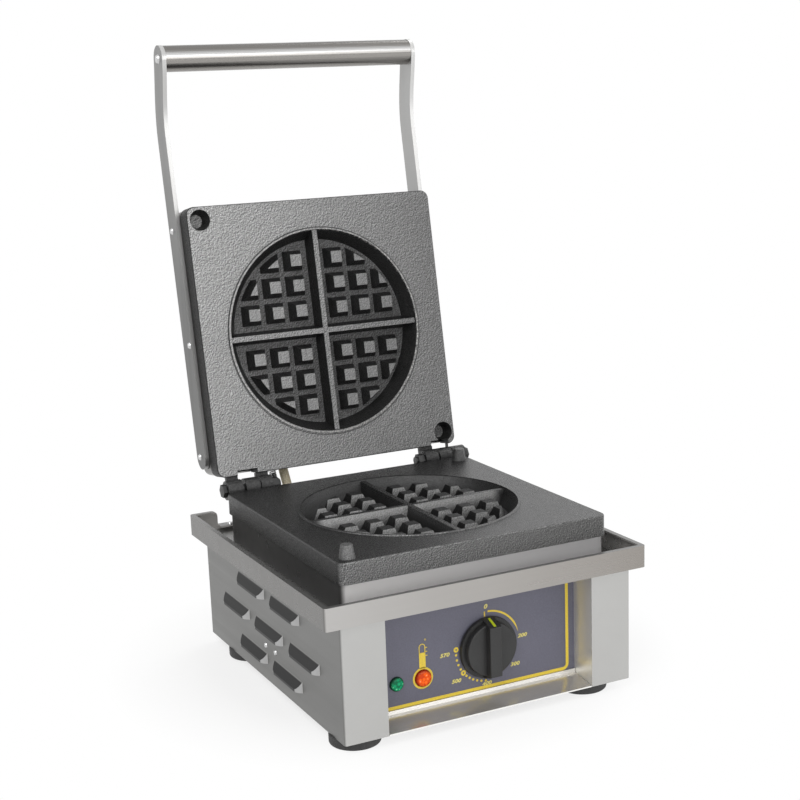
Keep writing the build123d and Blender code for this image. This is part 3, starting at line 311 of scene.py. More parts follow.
    def distance(self, centre, kept=(1, 1, 1)):
        """Distance from a centre, measured along the axes that are kept."""
        shift = tuple(-part * share for part, share in zip(centre, kept))
        return self.vector("LENGTH", self.place(kept, shift)).outputs["Value"]

    def normal(self):
        """True surface normal in object space."""
        turn = self.node("VectorTransform")
        turn.vector_type = "NORMAL"
        turn.convert_from = "WORLD"
        turn.convert_to = "OBJECT"
        self.link(self.node("NewGeometry").outputs["True Normal"], turn.inputs[0])
        return turn.outputs[0]

    def facing(self, direction, start=0.5, stop=0.9):
        """Share of 0 to 1 by which the surface faces a direction."""
        return self.rising(self.along(direction, self.normal()), start, stop)

    def facing_either(self, first, second, start=0.5, stop=0.9):
        """Share by which the surface faces one of two directions."""
        return self.maths("ADD", self.facing(first, start, stop), self.facing(second, start, stop))

    def painted_dimming(self, colour, reach, end):
        """Colour of faces that look forward, with painted shade growing from left to right."""
        slope = self.rising(self.axis("X"), -reach, reach)
        return self.tinted(colour, end, self.both(slope, self.facing(FORWARD)))

    def finish(self, colour, roughness=None, normal=None, **sockets):
        """Join what is given to the shader, set its plain sockets and hand over the material."""
        self.fill(self.shader.inputs["Base Color"], colour)
        if roughness is not None:
            self.link(roughness, self.shader.inputs["Roughness"])
        if normal is not None:
            self.link(normal, self.shader.inputs["Normal"])
        for name, value in sockets.items():
            self.fill(self.shader.inputs[name.replace("_", " ")], value)
        return self.material


# Brushed sheet

class Sheet(Recipe):
    """Brushed stainless sheet: fine lines along one axis, a front tone of painted light and a darker tone of
    painted shade on its sides.
    """

    def __init__(self, name, front, side, grain, roughness=0.32, tint=(1, 0.99, 0.975), streak=0.012,
                 metallic=0.75):
        super().__init__(name, roughness, metallic)
        fine = self.noise(scale=1.0, detail=2.0, rough=0.6, where=self.drawn(grain, 5, 760))
        wide = self.noise(scale=1.0, detail=3.0, rough=0.5, where=self.drawn(grain, 2, 90))
        cloud = self.noise(scale=9.0, detail=3.0, rough=0.5)
        # Painted shade: faces looking left or right take the darker side tone, the rest take the lit front
        # tone.
        base = self.mix(self.facing_either(RIGHT, LEFT), shade(front, tint), shade(side, tint))
        lines = self.ramp(fine, [(0.25, grey(1 - streak)), (0.75, WHITE)])
        worn = self.ramp(wide, [(0.3, grey(1 - 2 * streak)), (0.7, WHITE)])
        smear = self.ramp(cloud, [(0.3, (0.94, 0.935, 0.93)), (0.7, WHITE)])
        self.colour = self.tinted(self.tinted(self.tinted(base, lines), worn), smear)
        self.rough = self.spread(wide, roughness * 0.9, roughness * 1.12)
        self.relief = self.bump(fine, strength=0.004, distance=0.2 * MM)

    def drawn(self, grain, lengthwise, crosswise):
        """Coordinates drawn out along the grain."""
        return self.place(tuple(lengthwise if name == grain else crosswise for name in "xyz"))

    def ready(self):
        """The finished material."""
        return self.finish(self.colour, self.rough, self.relief, Anisotropic=BRUSHED_PULL)


def side_finish():
    """Side sheet with painted shade along the mouths of its pressed hoods, a painted highlight on their end
    caps and a painted reflection on its returns into the panel recess.
    """
    sheet = Sheet("side_sheet", 194, 126, "y", 0.36, (1, 1, 0.98), 0.008)
    across = sheet.across()
    edge = -low_corner("left_side").x
    hood = sheet.rising(across, edge - 4.9 * MM, edge - 4.4 * MM)
    caps = sheet.facing_either(BACKWARD, FORWARD, 0.12, 0.3)
    recess_reflection = sheet.both(sheet.sinking(across, RECESS_WALL, RECESS_WALL + 0.5 * MM),
                      sheet.facing_either(RIGHT, LEFT))
    # Painted shade in the hood mouths, then a painted highlight on the hood end caps.
    sheet.colour = sheet.mix(sheet.maths("SUBTRACT", hood, caps), sheet.colour, shade(34))
    sheet.colour = sheet.mix(sheet.both(hood, caps), sheet.colour, shade(176))
    # Painted reflection of the panel and its yellow print on the returns beside the recess.
    sheet.colour = sheet.mix(recess_reflection, sheet.colour, shade(240, (1, 0.985, 0.93)))
    return sheet.ready()


def tray_finish(front):
    """Drip tray: painted light on its outer front that dims to the right, painted shade on its outer sides,
    painted light on its inner walls and painted shade on its shelf.
    """
    sheet = Sheet("tray_sheet", front, 124, "x", 0.28, (1, 0.98, 0.955))
    edge = high_corner("drip_tray").x
    lip = low_corner("drip_tray").y
    inside = sheet.sinking(sheet.across(), edge - 1.2 * MM, edge - 0.6 * MM)
    behind = sheet.rising(sheet.axis("Y"), lip + 0.8 * MM, lip + 1.4 * MM)
    # Painted shade across the front faces, growing from left to right.
    sheet.colour = sheet.painted_dimming(sheet.colour, 150 * MM, (0.66, 0.63, 0.6))
    # Painted light on the inner walls behind the front lip.
    sheet.colour = sheet.mix(sheet.both(inside, behind), sheet.colour, shade(236, (1, 0.98, 0.95)))
    # Painted shade on every upward face, the shelf among them.
    sheet.colour = sheet.mix(sheet.facing(UP), sheet.colour, shade(118, (1, 0.99, 0.97)))
    return sheet.ready()


def collar_finish():
    """Collar under the lower plate: painted light on its front that dims to the right under painted shade,
    and painted shade on its sides.
    """
    sheet = Sheet("collar_sheet", 246, 84, "x", 0.3, (1, 0.99, 0.99), metallic=0.4)
    # Painted shade on the front, growing from left to right.
    sheet.colour = sheet.painted_dimming(sheet.colour, 120 * MM, (0.66, 0.66, 0.67))
    return sheet.ready()


def sill_finish():
    """Folded sill: its upright edges catch more light than its ledge."""
    sheet = Sheet("sill_sheet", 200, 160, "x", 0.2, (1, 0.965, 0.9), metallic=0.6)
    # Painted highlight on the forward faces.
    sheet.colour = sheet.mix(sheet.facing(FORWARD), sheet.colour, shade(255, (1, 0.99, 0.97)))
    return sheet.ready()


def arm_finish(name, front, side, foot):
    """Flat bar: painted shade makes it duller from the handle down along the lid."""
    sheet = Sheet(name, front, side, "z", 0.34, (1, 1, 0.99))
    # Painted shade: below the handle the colour dims towards the foot tone.
    sheet.colour = sheet.tinted(sheet.colour, shade(foot), sheet.sinking(sheet.axis("Z"), 340 * MM, 460 * MM))
    return sheet.ready()


def handle_finish():
    """Polished tube with painted reflections: long warm stripes that follow its round."""
    recipe = Recipe("handle_sheet", 0.24, 0.8)
    fine = recipe.noise(scale=1.0, detail=2.0, rough=0.6, where=recipe.place((14, 1500, 1500)))
    wide = recipe.noise(scale=1.0, detail=3.0, rough=0.5, where=recipe.place((3, 240, 240)))
    warm = (1, 0.965, 0.92)
    # Painted reflection: tones picked by how far the surface faces up or down.
    height = recipe.rising(recipe.axis("Z", recipe.normal()), -1.0, 1.0)
    tones = ((0.1, 150, warm), (0.17, 108, warm), (0.28, 134, warm), (0.39, 176, warm), (0.46, 134, warm),
             (0.52, 180, warm), (0.61, 226, WHITE), (0.7, 196, WHITE), (0.79, 136, warm), (1.0, 108, warm))
    reflection_bands = recipe.ramp(height, [(position, shade(value, tint)) for position, value, tint in tones])
    lines = recipe.ramp(fine, [(0.25, grey(0.93)), (0.75, WHITE)])
    worn = recipe.ramp(wide, [(0.3, (0.86, 0.85, 0.84)), (0.7, WHITE)])
    colour = recipe.tinted(recipe.tinted(reflection_bands, lines), worn)
    relief = recipe.bump(fine, strength=0.03, distance=0.2 * MM)
    return recipe.finish(colour, recipe.spread(fine, 0.2, 0.3), relief, Anisotropic=BRUSHED_PULL)


# Cast iron

class CastIron(Recipe):
    """Rough casting with a leathery skin, whose tones lie between a dark and a pale screen grey."""

    def __init__(self, name, roughness=0.42, relief=1.0, grit=640.0):
        super().__init__(name, roughness, 0.2)
        self.roughness = roughness
        self.relief = relief
        self.coarse = self.noise(scale=grit, detail=2.0, rough=0.55, warp=0.9)
        beside = self.noise(scale=grit, detail=2.0, rough=0.55, warp=0.9, where=self.place(shift=GRAIN_SHIFT))
        # Half noise and half painted emboss shading: each grain gets a painted lit side and a painted shaded
        # side.
        self.grain = self.mix(0.5, self.coarse, self.sinking(beside, 0.0, 1.0))

    def grained(self, dark, pale, end=0.58):
        """Grain between two screen greys."""
        return self.ramp(self.grain, [(0.42, shade(dark)), (end, shade(pale))])

    def grained_face(self, dark, pale):
        """Grain between two screen greys with an even step between them."""
        even = shade((dark + pale) / 2)
        return self.ramp(self.grain, [(0.42, shade(dark)), (0.5, even), (0.58, shade(pale))])

    def lit_and_shaded_tones(self, face, other, direction, start, stop):
        """Skin with a pair of greys of painted light where it faces a direction and a darker pair elsewhere,
        partly the iron's darker seasoning and partly painted shade, with painted shade growing to the right.
        """
        skin = self.mix(self.facing(direction, start, stop), self.grained(*other), self.grained_face(*face))
        # Painted shade growing from left to right.
        return self.tinted(skin, shade(180), self.rising(self.axis("X"), -DIM_REACH, DIM_REACH))

    def ready(self, skin, shine=0.5, dull=None):
        """The finished material: patches, pits and relief on a skin, without gloss where it is dull."""
        patches = self.ramp(self.noise(scale=9.0, detail=3.0, rough=0.6), [(0.3, grey(0.9)), (0.7, WHITE)])
        pits = self.ramp(self.cells(120.0), [(0.0, grey(0.4)), (0.06, WHITE)])
        colour = self.tinted(self.tinted(skin, patches), pits, 0.5)
        rough = self.spread(self.coarse, self.roughness + 0.1, self.roughness - 0.08)
        if dull is not None:
            rough = self.mix(dull, rough, grey(0.8))
        normal = self.bump(self.coarse, strength=self.relief, distance=2.6 * MM)
        sand = self.noise(scale=1300.0, detail=1.0, rough=0.5)
        normal = self.bump(sand, strength=0.5 * self.relief, distance=0.6 * MM, chain=normal)
        return self.finish(colour, rough, normal, Specular_IOR_Level=shine)


def lid_iron(name, face):
    """Iron of the lid and its skin: painted light where it looks out of the open lid."""
    iron = CastIron(name)
    return iron, iron.lit_and_shaded_tones(face, (10, 30), OPEN_FACE, 0.8, 0.93)


def upper_plate_iron(face):
    """Upper plate: painted shade on its sunken grid, a line of painted shade in a groove round it and painted
    highlights on a knurled ring round that.
    """
    iron, skin = lid_iron("upper_iron", face)
    reach = iron.distance(middle("upper_pegs"))
    face_level = max(Vector(OPEN_FACE).dot(vertex.co) for vertex in nodes["upper_plate"].data.vertices)
    sunken = iron.sinking(iron.along(OPEN_FACE), face_level - 3 * MM, face_level - 1.5 * MM)
    grid = iron.both(iron.sinking(reach, RING_START, RING_START + 1 * MM), sunken)
    # Painted shade on the sunken grid.
    skin = iron.tinted(skin, shade(186), grid)
    edge = iron.rising(reach, RING_START, RING_STOP)
    groove = iron.band(edge, 0.66, 0.78, 0.9, 0.99)
    # Painted shade: a dark line in the groove.
    skin = iron.mix(iron.both(groove, 0.7), skin, shade(44))
    # Painted highlights on the knurls of the ring, where they face out of the open lid.
    knurls = iron.sinking(iron.cells(520.0), 0.25, 0.6)
    ring = iron.both(iron.band(edge, 0.2, 0.36, 0.58, 0.72), knurls)
    ring = iron.both(ring, iron.facing(OPEN_FACE, 0.2, 0.8))
    return iron.ready(iron.mix(ring, skin, shade(214, (1, 0.98, 0.96))))


def lower_plate_iron(name, face, other, roughness, relief, shine=0.5, grit=640.0):
    """Iron in and round the lower hollow: painted light on forward faces in its middle, painted shade on its
    wall, its other inner faces and its depth, darker upward faces inside, a duller depth and painted shade
    growing to the right.
    """
    iron = CastIron(name, roughness, relief, grit)
    height = iron.axis("Z")
    reach = iron.distance((0, middle("lower_plate").y, 0), (1, 1, 0))
    inside = iron.sinking(reach, HOLLOW_RADIUS, HOLLOW_RADIUS + 1 * MM)
    rim = iron.rising(reach, HOLLOW_RADIUS - 14 * MM, HOLLOW_RADIUS - 6 * MM)
    # Forward faces in the hollow: painted light in its middle and painted shade near its wall.
    within = iron.mix(rim, iron.grained(120, 196), iron.grained(12, 70.56, 0.6))
    # Outside the hollow the forward faces take a wide grain that is partly painted glints.
    pale = iron.mix(inside, iron.grained_face(*face), within)
    below = iron.sinking(height, PLATE_TOP - 1.2 * MM, PLATE_TOP - 0.4 * MM)
    # Painted shade on the other faces below the top inside the hollow.
    dark = iron.mix(iron.both(inside, below), iron.grained(*other), shade(14))
    skin = iron.mix(iron.facing(FORWARD, 0.3, 0.75), dark, pale)
    # Painted shade growing with depth in the hollow, which also stays rough.
    deep = iron.both(inside, iron.sinking(height, PLATE_TOP - 16 * MM, PLATE_TOP - 5 * MM))
    skin = iron.tinted(skin, shade(112), deep)
    skin = iron.mix(iron.both(inside, iron.facing(UP)), skin, shade(26))
    # Painted shade on the forward faces, growing to the right.
    return iron.ready(iron.painted_dimming(skin, DIM_REACH, (0.62, 0.62, 0.61)), shine, deep)


def small_iron(name, face, other, roughness):
    """Small smooth casting with painted light on its forward faces."""
    iron = CastIron(name, roughness, relief=0.5)
    return iron.ready(iron.lit_and_shaded_tones(face, other, FORWARD, 0.2, 0.9))


# Other finishes

def polished(name, tone, roughness=0.18):
    """Small bright fastener with turning marks."""
    recipe = Recipe(name, roughness, 1.0)
    rings = recipe.noise(scale=3.0, detail=2.0, where=recipe.place((400, 400, 400)))
    colour = recipe.ramp(rings, [(0.3, shade(tone - 16)), (0.7, shade(tone + 10))])
    rough = recipe.spread(rings, roughness, roughness * 1.7)
    return recipe.finish(colour, rough, recipe.bump(rings, strength=0.06, distance=0.2 * MM))


def blackened(name, low, high, roughness=0.45):
    """Blackened steel with oil marks."""
    recipe = Recipe(name, roughness, 0.6)
    speckle = recipe.noise(scale=420.0)
    colour = recipe.mix(recipe.noise(scale=60.0, detail=3.0), shade(low), shade(high))
    rough = recipe.spread(speckle, roughness - 0.1, roughness + 0.12)
    return recipe.finish(colour, rough, recipe.bump(speckle, strength=0.3, distance=0.4 * MM))


def moulded(name, low, high, roughness, grain=520.0, depth=0.25):
    """Moulded plastic or rubber with a fine spark texture and faint handling marks."""
    recipe = Recipe(name, roughness)
    spark = recipe.noise(scale=grain, detail=3.0, rough=0.6)
    patch = recipe.noise(scale=34.0, detail=3.0)
    colour = recipe.mix(recipe.spread(patch, 0.2, 0.9), shade(low), shade(high))
    rough = recipe.spread(spark, roughness - 0.07, roughness + 0.1)
    return recipe.finish(colour, rough, recipe.bump(spark, strength=depth, distance=0.25 * MM))


def lens_glass(name, node, deep, bright, glow):
    """Tinted lamp lens: facets with painted glints at their middles, inside a glossy shell that darkens at
    its rim.
    """
    recipe = Recipe(name, 0.12)
    centre = middle(node)
    radius = high_corner(node).x - centre.x
    facets = recipe.cells(330.0, recipe.place((1, 0.4, 1)))
    pale = tuple(0.4 + 0.6 * part for part in bright)
    rim = recipe.rising(recipe.distance(centre, (1, 0, 1)), 0.66 * radius, 0.96 * radius)
    colour = recipe.mix(recipe.spread(facets, 0.0, 0.8, 0.1, 0.7), bright, deep)
    # Painted glints near the middle of each facet; the lens's emission carries them too.
    colour = recipe.mix(recipe.spread(facets, 0.75, 0.0, 0.04, 0.22), colour, pale)
    colour = recipe.mix(rim, colour, darker(deep, 0.4))
    relief = recipe.bump(facets, strength=0.3, distance=0.6 * MM)
    return recipe.finish(colour, None, relief, Coat_Weight=0.15, Coat_Roughness=0.04, IOR=1.25,
                         Emission_Color=colour, Emission_Strength=glow)


def printed_ink(name, colour):
    """Screen-printed ink with slightly uneven cover."""
    recipe = Recipe(name, 0.42)
    cover = recipe.noise(scale=700.0, detail=3.0)
    tone = recipe.mix(recipe.spread(cover, 0.0, 1.0), darker(colour, 0.86), colour)
    relief = recipe.bump(cover, strength=0.15, distance=0.1 * MM)
    return recipe.finish(tone, recipe.spread(cover, 0.36, 0.52), relief)


def panel_skin():
    """Grey violet panel film with a fine even grain."""
    recipe = Recipe("panel_film", 0.4)
    grain = recipe.noise(scale=900.0, detail=4.0, rough=0.65)
    cloud = recipe.noise(scale=18.0, detail=3.0)
    base = recipe.ramp(grain, [(0.3, screen(94, 94, 108)), (0.7, screen(108, 108, 123))])
    colour = recipe.mix(recipe.spread(cloud, 0.0, 0.4), base, screen(114, 113, 127))
    relief = recipe.bump(grain, strength=0.12, distance=0.2 * MM)
    return recipe.finish(colour, recipe.spread(grain, 0.34, 0.5), relief)


def woven_sleeve():
    """Woven glass-fibre sleeve in brown and cream."""
    recipe = Recipe("woven_sleeve", 0.8)
    weave = recipe.cells(620.0, recipe.place((1, 1, 0.7)))
    patch = recipe.noise(scale=90.0, detail=3.0)
    colour = recipe.ramp(weave, [(0.1, screen(252, 246, 226)), (0.6, screen(214, 202, 172))])
    colour = recipe.mix(recipe.spread(patch, 0.0, 0.3), colour, screen(180, 164, 132))
    relief = recipe.bump(weave, strength=0.8, distance=0.5 * MM)
    return recipe.finish(colour, recipe.spread(weave, 0.7, 0.92), relief)


def fibre_mat():
    """Pressed insulation mat."""
    recipe = Recipe("fibre_mat", 0.9)
    hair = recipe.noise(scale=260.0, detail=6.0, rough=0.7, warp=1.2, where=recipe.place((1, 1, 3)))
    colour = recipe.ramp(hair, [(0.3, screen(176, 170, 150)), (0.7, screen(226, 222, 206))])
    return recipe.finish(colour, None, recipe.bump(hair, strength=0.8, distance=1 * MM))


def brass_metal():
    """Machined brass."""
    recipe = Recipe("machined_brass", 0.3, 1.0)
    marks = recipe.noise(scale=2.0, detail=3.0, where=recipe.place((300, 30, 300)))
    colour = recipe.ramp(marks, [(0.3, screen(190, 150, 78)), (0.7, screen(222, 184, 110))])
    relief = recipe.bump(marks, strength=0.1, distance=0.2 * MM)
    return recipe.finish(colour, recipe.spread(marks, 0.22, 0.42), relief)


# Mesh helpers

def pick_only(*pieces):
    """Select these pieces alone and make the first one active."""
    if bpy.context.mode != "OBJECT":
        bpy.ops.object.mode_set(mode="OBJECT")
    bpy.ops.object.select_all(action="DESELECT")
    for piece in pieces:
        piece.select_set(True)
    if pieces:
        bpy.context.view_layer.objects.active = pieces[0]


def paint(piece, material):
    """Make a material the piece's only one."""
    piece.data.materials.clear()
    piece.data.materials.append(material)


def dress(material, *names):
    """Give CAD nodes their material."""
    for name in names:
        paint(nodes[name], material)


def settle(pieces, name, material, body):
    """Join printed pieces, name and paint them, and mount them on a body."""
    pick_only(*pieces)
    bpy.ops.object.join()
    piece = pieces[0]
    piece.name = name
    piece.data.name = name
    paint(piece, material)
    bpy.ops.object.transform_apply(location=True, rotation=True, scale=True)
    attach(piece, body)


def stand_up(name, drawing, x=0.0, z=0.0, wide=1.0):
    """Turn a flat curve or text, drawn in x and z, onto the panel and make it a mesh."""
    piece = bpy.data.objects.new(name, drawing)
    bpy.context.scene.collection.objects.link(piece)
    pick_only(piece)
    bpy.ops.object.convert(target="MESH")
    piece = bpy.context.view_layer.objects.active
    turn = Matrix.Translation((x, FASCIA_Y - PRINT_LIFT, z)) @ Matrix.Rotation(pi / 2, 4, "X")
    piece.data.transform(turn @ Matrix.Diagonal((wide, 1, 1, 1)))
    return piece


def flat_print(name, *loops):
    """Thin print on the panel, filled between loops of points."""
    curve = bpy.data.curves.new(name, "CURVE")
    curve.dimensions = "2D"
    curve.fill_mode = "BOTH"
    curve.extrude = PRINT_DEPTH / 2
    for loop in loops:
        spline = curve.splines.new("POLY")
        spline.points.add(len(loop) - 1)
        for point, (x, z) in zip(spline.points, loop):
            point.co = (x, z, 0, 1)
        spline.use_cyclic_u = True
    return stand_up(name, curve)


def line_print(name, points, width):
    """Printed line of one width through points on the panel."""
    left, right = [], []
    for index, (x, z) in enumerate(points):
        before = Vector(points[max(index - 1, 0)])
        after = Vector(points[min(index + 1, len(points) - 1)])
        along = (after - before).normalized()
        across = Vector((-along.y, along.x)) * width / 2
        left.append((x + across.x, z + across.y))
        right.append((x - across.x, z - across.y))
    return flat_print(name, left + right[::-1])


def arc_points(x, z, radius, start, stop, steps):
    """Points round a centre; angles in degrees, clockwise from the top."""
    found = []
    for step in range(steps + 1):
        angle = radians(start + (stop - start) * step / steps)
        found.append((x + radius * sin(angle), z + radius * cos(angle)))
    return found


def disc_print(name, x, z, radius, hole=0.0):
    """Printed dot, or a ring where it has a hole."""
    return flat_print(name, *(arc_points(x, z, size, 0, 345, 23) for size in (radius, hole) if size > 0))


def number_print(text, x, z, height):
    """Slanted number centred at a place on the panel."""
    words = bpy.data.curves.new("number", "FONT")
    words.body = text
    words.size = height * FONT_SIZE
    words.shear = FONT_SLANT
    words.align_x = "CENTER"
    words.align_y = "CENTER"
    words.offset = FONT_WEIGHT
    words.space_character = FONT_SPACING
    words.extrude = PRINT_DEPTH / 2
    return stand_up("number_" + text, words, x, z, FONT_STRETCH)


# Settings that a user may change

class WaffleLooksSettings(bpy.types.PropertyGroup):
    """Colours and sizes of the waffle maker's looks."""

    ink: bpy.props.FloatVectorProperty(
        name="Panel Ink", description="Colour of the printed lines and rings", subtype="COLOR",
        size=3, min=0, max=1, default=screen(247, 217, 74))
    pale_ink: bpy.props.FloatVectorProperty(
        name="Number Ink", description="Colour of the dial's numbers", subtype="COLOR",
        size=3, min=0, max=1, default=screen(238, 224, 128))
    border_width: bpy.props.FloatProperty(
        name="Border Width", description="Width of the printed border line", unit="LENGTH", default=0.0029)
    number_height: bpy.props.FloatProperty(
        name="Number Height", description="Height of the dial's numbers", unit="LENGTH", default=0.0032)
    dial_radius: bpy.props.FloatProperty(
        name="Dial Radius", description="Radius of the printed dial marks", unit="LENGTH", default=0.0305)
    iron_face: bpy.props.FloatProperty(
        name="Upper Plate Tone", description="Screen grey of the upper plate's face",
        default=194, min=0, max=255)
    tray_tone: bpy.props.FloatProperty(
        name="Tray Tone", description="Screen grey of the drip tray's front", default=192, min=0, max=255)
    floor_tone: bpy.props.FloatProperty(
        name="Floor Tone", description="Brightness of the studio floor", default=0.9, min=0, max=1)


# Operators

class WAFFLE_OT_camera(bpy.types.Operator):
    """Place the camera at the photograph's viewpoint"""

    bl_idname = "waffle.camera"
    bl_label = "Camera"

    def execute(self, context):
        data = bpy.data.cameras.new("viewpoint")
        data.sensor_width = SENSOR_WIDTH
        data.sensor_fit = "HORIZONTAL"
        data.lens = LENS
        data.shift_x = SHIFT_X
        data.shift_y = SHIFT_Y
        data.clip_end = FAR_CLIP
        camera = bpy.data.objects.new("viewpoint", data)
        context.scene.collection.objects.link(camera)
        azimuth, elevation, roll = radians(AZIMUTH), radians(ELEVATION), radians(ROLL)
        backward = Vector((sin(azimuth) * cos(elevation), -cos(azimuth) * cos(elevation), sin(elevation)))
        right = Vector((cos(azimuth), sin(azimuth), 0))
        up = backward.cross(right)
        rolled_right = right * cos(roll) + up * sin(roll)
        rolled_up = up * cos(roll) - right * sin(roll)
        turned = Matrix((rolled_right, rolled_up, backward)).transposed().to_4x4()
        camera.matrix_world = Matrix.Translation(Vector(TARGET) + backward * DISTANCE) @ turned
        context.scene.camera = camera
        return {"FINISHED"}


class WAFFLE_OT_stage(bpy.types.Operator):
    """Add the pale floor, the soft lamps and the bright surroundings"""

    bl_idname = "waffle.stage"
    bl_label = "Studio"

    def seen(self, tree):
        """1 for rays from the camera and for those that metal and glass send on."""
        path = tree.nodes.new("ShaderNodeLightPath")
        total = path.outputs["Is Camera Ray"]
        for name in ("Is Glossy Ray", "Is Transmission Ray"):
            more = tree.nodes.new("ShaderNodeMath")
            more.operation = "MAXIMUM"
            tree.links.new(total, more.inputs[0])
            tree.links.new(path.outputs[name], more.inputs[1])
            total = more.outputs[0]
        return total

    def add_floor(self, tone):
        """Paper that takes the object's shadow and fades to white round it."""
        pick_only()
        bpy.ops.mesh.primitive_plane_add(size=FLOOR_SIZE, location=(0, 0, 0))
        floor = bpy.context.active_object
        floor.name = "studio_floor"
        recipe = Recipe("studio_paper", 0.9)
        paint(floor, recipe.finish(grey(tone)))
        white = recipe.node("Emission", Color=(1, 1, 1, 1), Strength=1.0)
        away = recipe.spread(recipe.distance((0, 0, 0), (1, 1, 0)), NEAR_WHITE, 1.0, FADE_START, FADE_STOP)
        blend = recipe.node("MixShader")
        recipe.link(recipe.both(away, self.seen(recipe.tree)), blend.inputs[0])
        recipe.link(recipe.shader.outputs[0], blend.inputs[1])
        recipe.link(white.outputs[0], blend.inputs[2])
        recipe.link(blend.outputs[0], recipe.out.inputs["Surface"])

    def add_air(self, scene):
        """White surroundings that light the object less strongly than they look."""
        world = bpy.data.worlds.new("studio_air")
        world.use_nodes = True
        scene.world = world
        air = world.node_tree
        air.nodes.clear()
        out = air.nodes.new("ShaderNodeOutputWorld")
        pick = air.nodes.new("ShaderNodeMixShader")
        for socket, colour, strength in ((1, AIR_COLOUR, AIR_STRENGTH), (2, (1, 1, 1, 1), 1.0)):
            light = air.nodes.new("ShaderNodeBackground")
            light.inputs["Color"].default_value = colour
            light.inputs["Strength"].default_value = strength
            air.links.new(light.outputs[0], pick.inputs[socket])
        air.links.new(self.seen(air), pick.inputs[0])
        air.links.new(pick.outputs[0], out.inputs["Surface"])

    def add_lamp(self, name, spot, size, power):
        """Square lamp that looks at the object."""
        data = bpy.data.lights.new(name, "AREA")
        data.shape = "SQUARE"
        data.size = size
        data.energy = power
        lamp = bpy.data.objects.new(name, data)
        bpy.context.scene.collection.objects.link(lamp)
        lamp.location = spot
        lamp.rotation_euler = (Vector(LAMP_AIM) - Vector(spot)).to_track_quat("-Z", "Y").to_euler()

    def execute(self, context):
        self.add_floor(context.scene.waffle_looks.floor_tone)
        self.add_air(context.scene)
        for lamp in LAMPS:
            self.add_lamp(*lamp)
        context.scene.view_settings.view_transform = "Standard"
        return {"FINISHED"}


class WAFFLE_OT_sheet_metal(bpy.types.Operator):
    """Give the body, tray, lid cover, arms, handle, screws, spring and sleeve their finishes"""

    bl_idname = "waffle.sheet_metal"
    bl_label = "Sheet Metal"

    def execute(self, context):
        dress(side_finish(), "left_side", "right_side")
        dress(Sheet("rear_sheet", 176, 150, "x", 0.36).ready(), "base_pan", "rear_panel")
        dress(sill_finish(), "front_sill")
        dress(tray_finish(context.scene.waffle_looks.tray_tone), "drip_tray")
        dress(collar_finish(), "plate_collar")
        dress(Sheet("casing_sheet", 170, 140, "z", 0.36).ready(), "lid_casing")
        # The right arm's higher tones are painted light: the same steel as the left arm, lit differently.
        dress(arm_finish("left_bar", 198, 142, 200), "left_arm")
        dress(arm_finish("right_bar", 214, 176, 226), "right_arm")
        dress(Sheet("nut_strip", 160, 140, "z", 0.4).ready(), "arm_nut_strips")
        dress(handle_finish(), "handle_tube", "handle_plugs")
        dress(polished("bright_screw", 205), "side_screws", "tray_screws", "arm_screws", "handle_screws",
              "foot_screws", "plate_standoffs", "lower_studs", "upper_studs", "lid_ferrules", "spring_anchor")
        dress(polished("spring_wire", 132, 0.25), "lid_spring")
        dress(woven_sleeve(), "cable_sleeve")
        return {"FINISHED"}


class WAFFLE_OT_castings(bpy.types.Operator):
    """Give the cooking plates, pegs, pins and hinges their cast finish"""

    bl_idname = "waffle.castings"
    bl_label = "Castings"

    def execute(self, context):
        face = context.scene.waffle_looks.iron_face
        dress(upper_plate_iron((face - 76, face + 50)), "upper_plate")
        pegs, skin = lid_iron("upper_peg_iron", (face - 50, face + 20))
        dress(pegs.ready(skin), "upper_pegs")
        dress(lower_plate_iron("lower_iron", (26, 168), (20, 30), 0.26, 0.25, grit=980.0), "lower_plate")
        dress(lower_plate_iron("peg_iron", (40, 122), (14, 26), 0.5, 0.6, 0.25), "lower_pegs")
        dress(small_iron("pin_iron", (84, 150), (60, 90), 0.3), "plate_pins")
        dress(small_iron("lug_iron", (30, 84), (24, 50), 0.28), "lower_hinge_lugs", "upper_hinge_lugs")
        dress(blackened("bolt_steel", 40, 84), "hinge_bolts", "hinge_nuts")
        return {"FINISHED"}


class WAFFLE_OT_inner_pieces(bpy.types.Operator):
    """Give the heaters, insulation and electrical pieces their finishes"""

    bl_idname = "waffle.inner_pieces"
    bl_label = "Inner Pieces"

    def execute(self, context):
        dress(blackened("heater_sheath", 80, 112, 0.5), "lower_element", "upper_element")
        dress(Sheet("clamp_plate", 180, 180, "y", 0.4).ready(), "lower_clamp_sheet", "upper_clamp_sheet")
        dress(fibre_mat(), "lower_insulation", "upper_insulation")
        dress(moulded("switch_plastic", 38, 50, 0.5), "thermostat_body", "lamp_holders", "cable_gland",
              "gland_nut")
        dress(brass_metal(), "thermostat_nut", "thermostat_shaft")
        return {"FINISHED"}


class WAFFLE_OT_controls(bpy.types.Operator):
    """Give the panel, the knob, its pointer, the lamps and the feet their finishes"""

    bl_idname = "waffle.controls"
    bl_label = "Controls"

    def execute(self, context):
        dress(panel_skin(), "control_fascia")
        dress(moulded("knob_plastic", 36, 50, 0.42, 800.0, 0.3), "thermostat_knob")
        dress(printed_ink("pointer_paint", screen(214, 232, 40)), "knob_pointer")
        dress(lens_glass("green_lens", "green_lamp", screen(0, 62, 42), screen(0, 172, 112), 0.3),
              "green_lamp")
        dress(lens_glass("amber_lens", "amber_lamp", screen(178, 34, 0), screen(255, 112, 10), 0.35),
              "amber_lamp")
        dress(moulded("foot_rubber", 46, 58, 0.6, 420.0, 0.4), "feet")
        return {"FINISHED"}


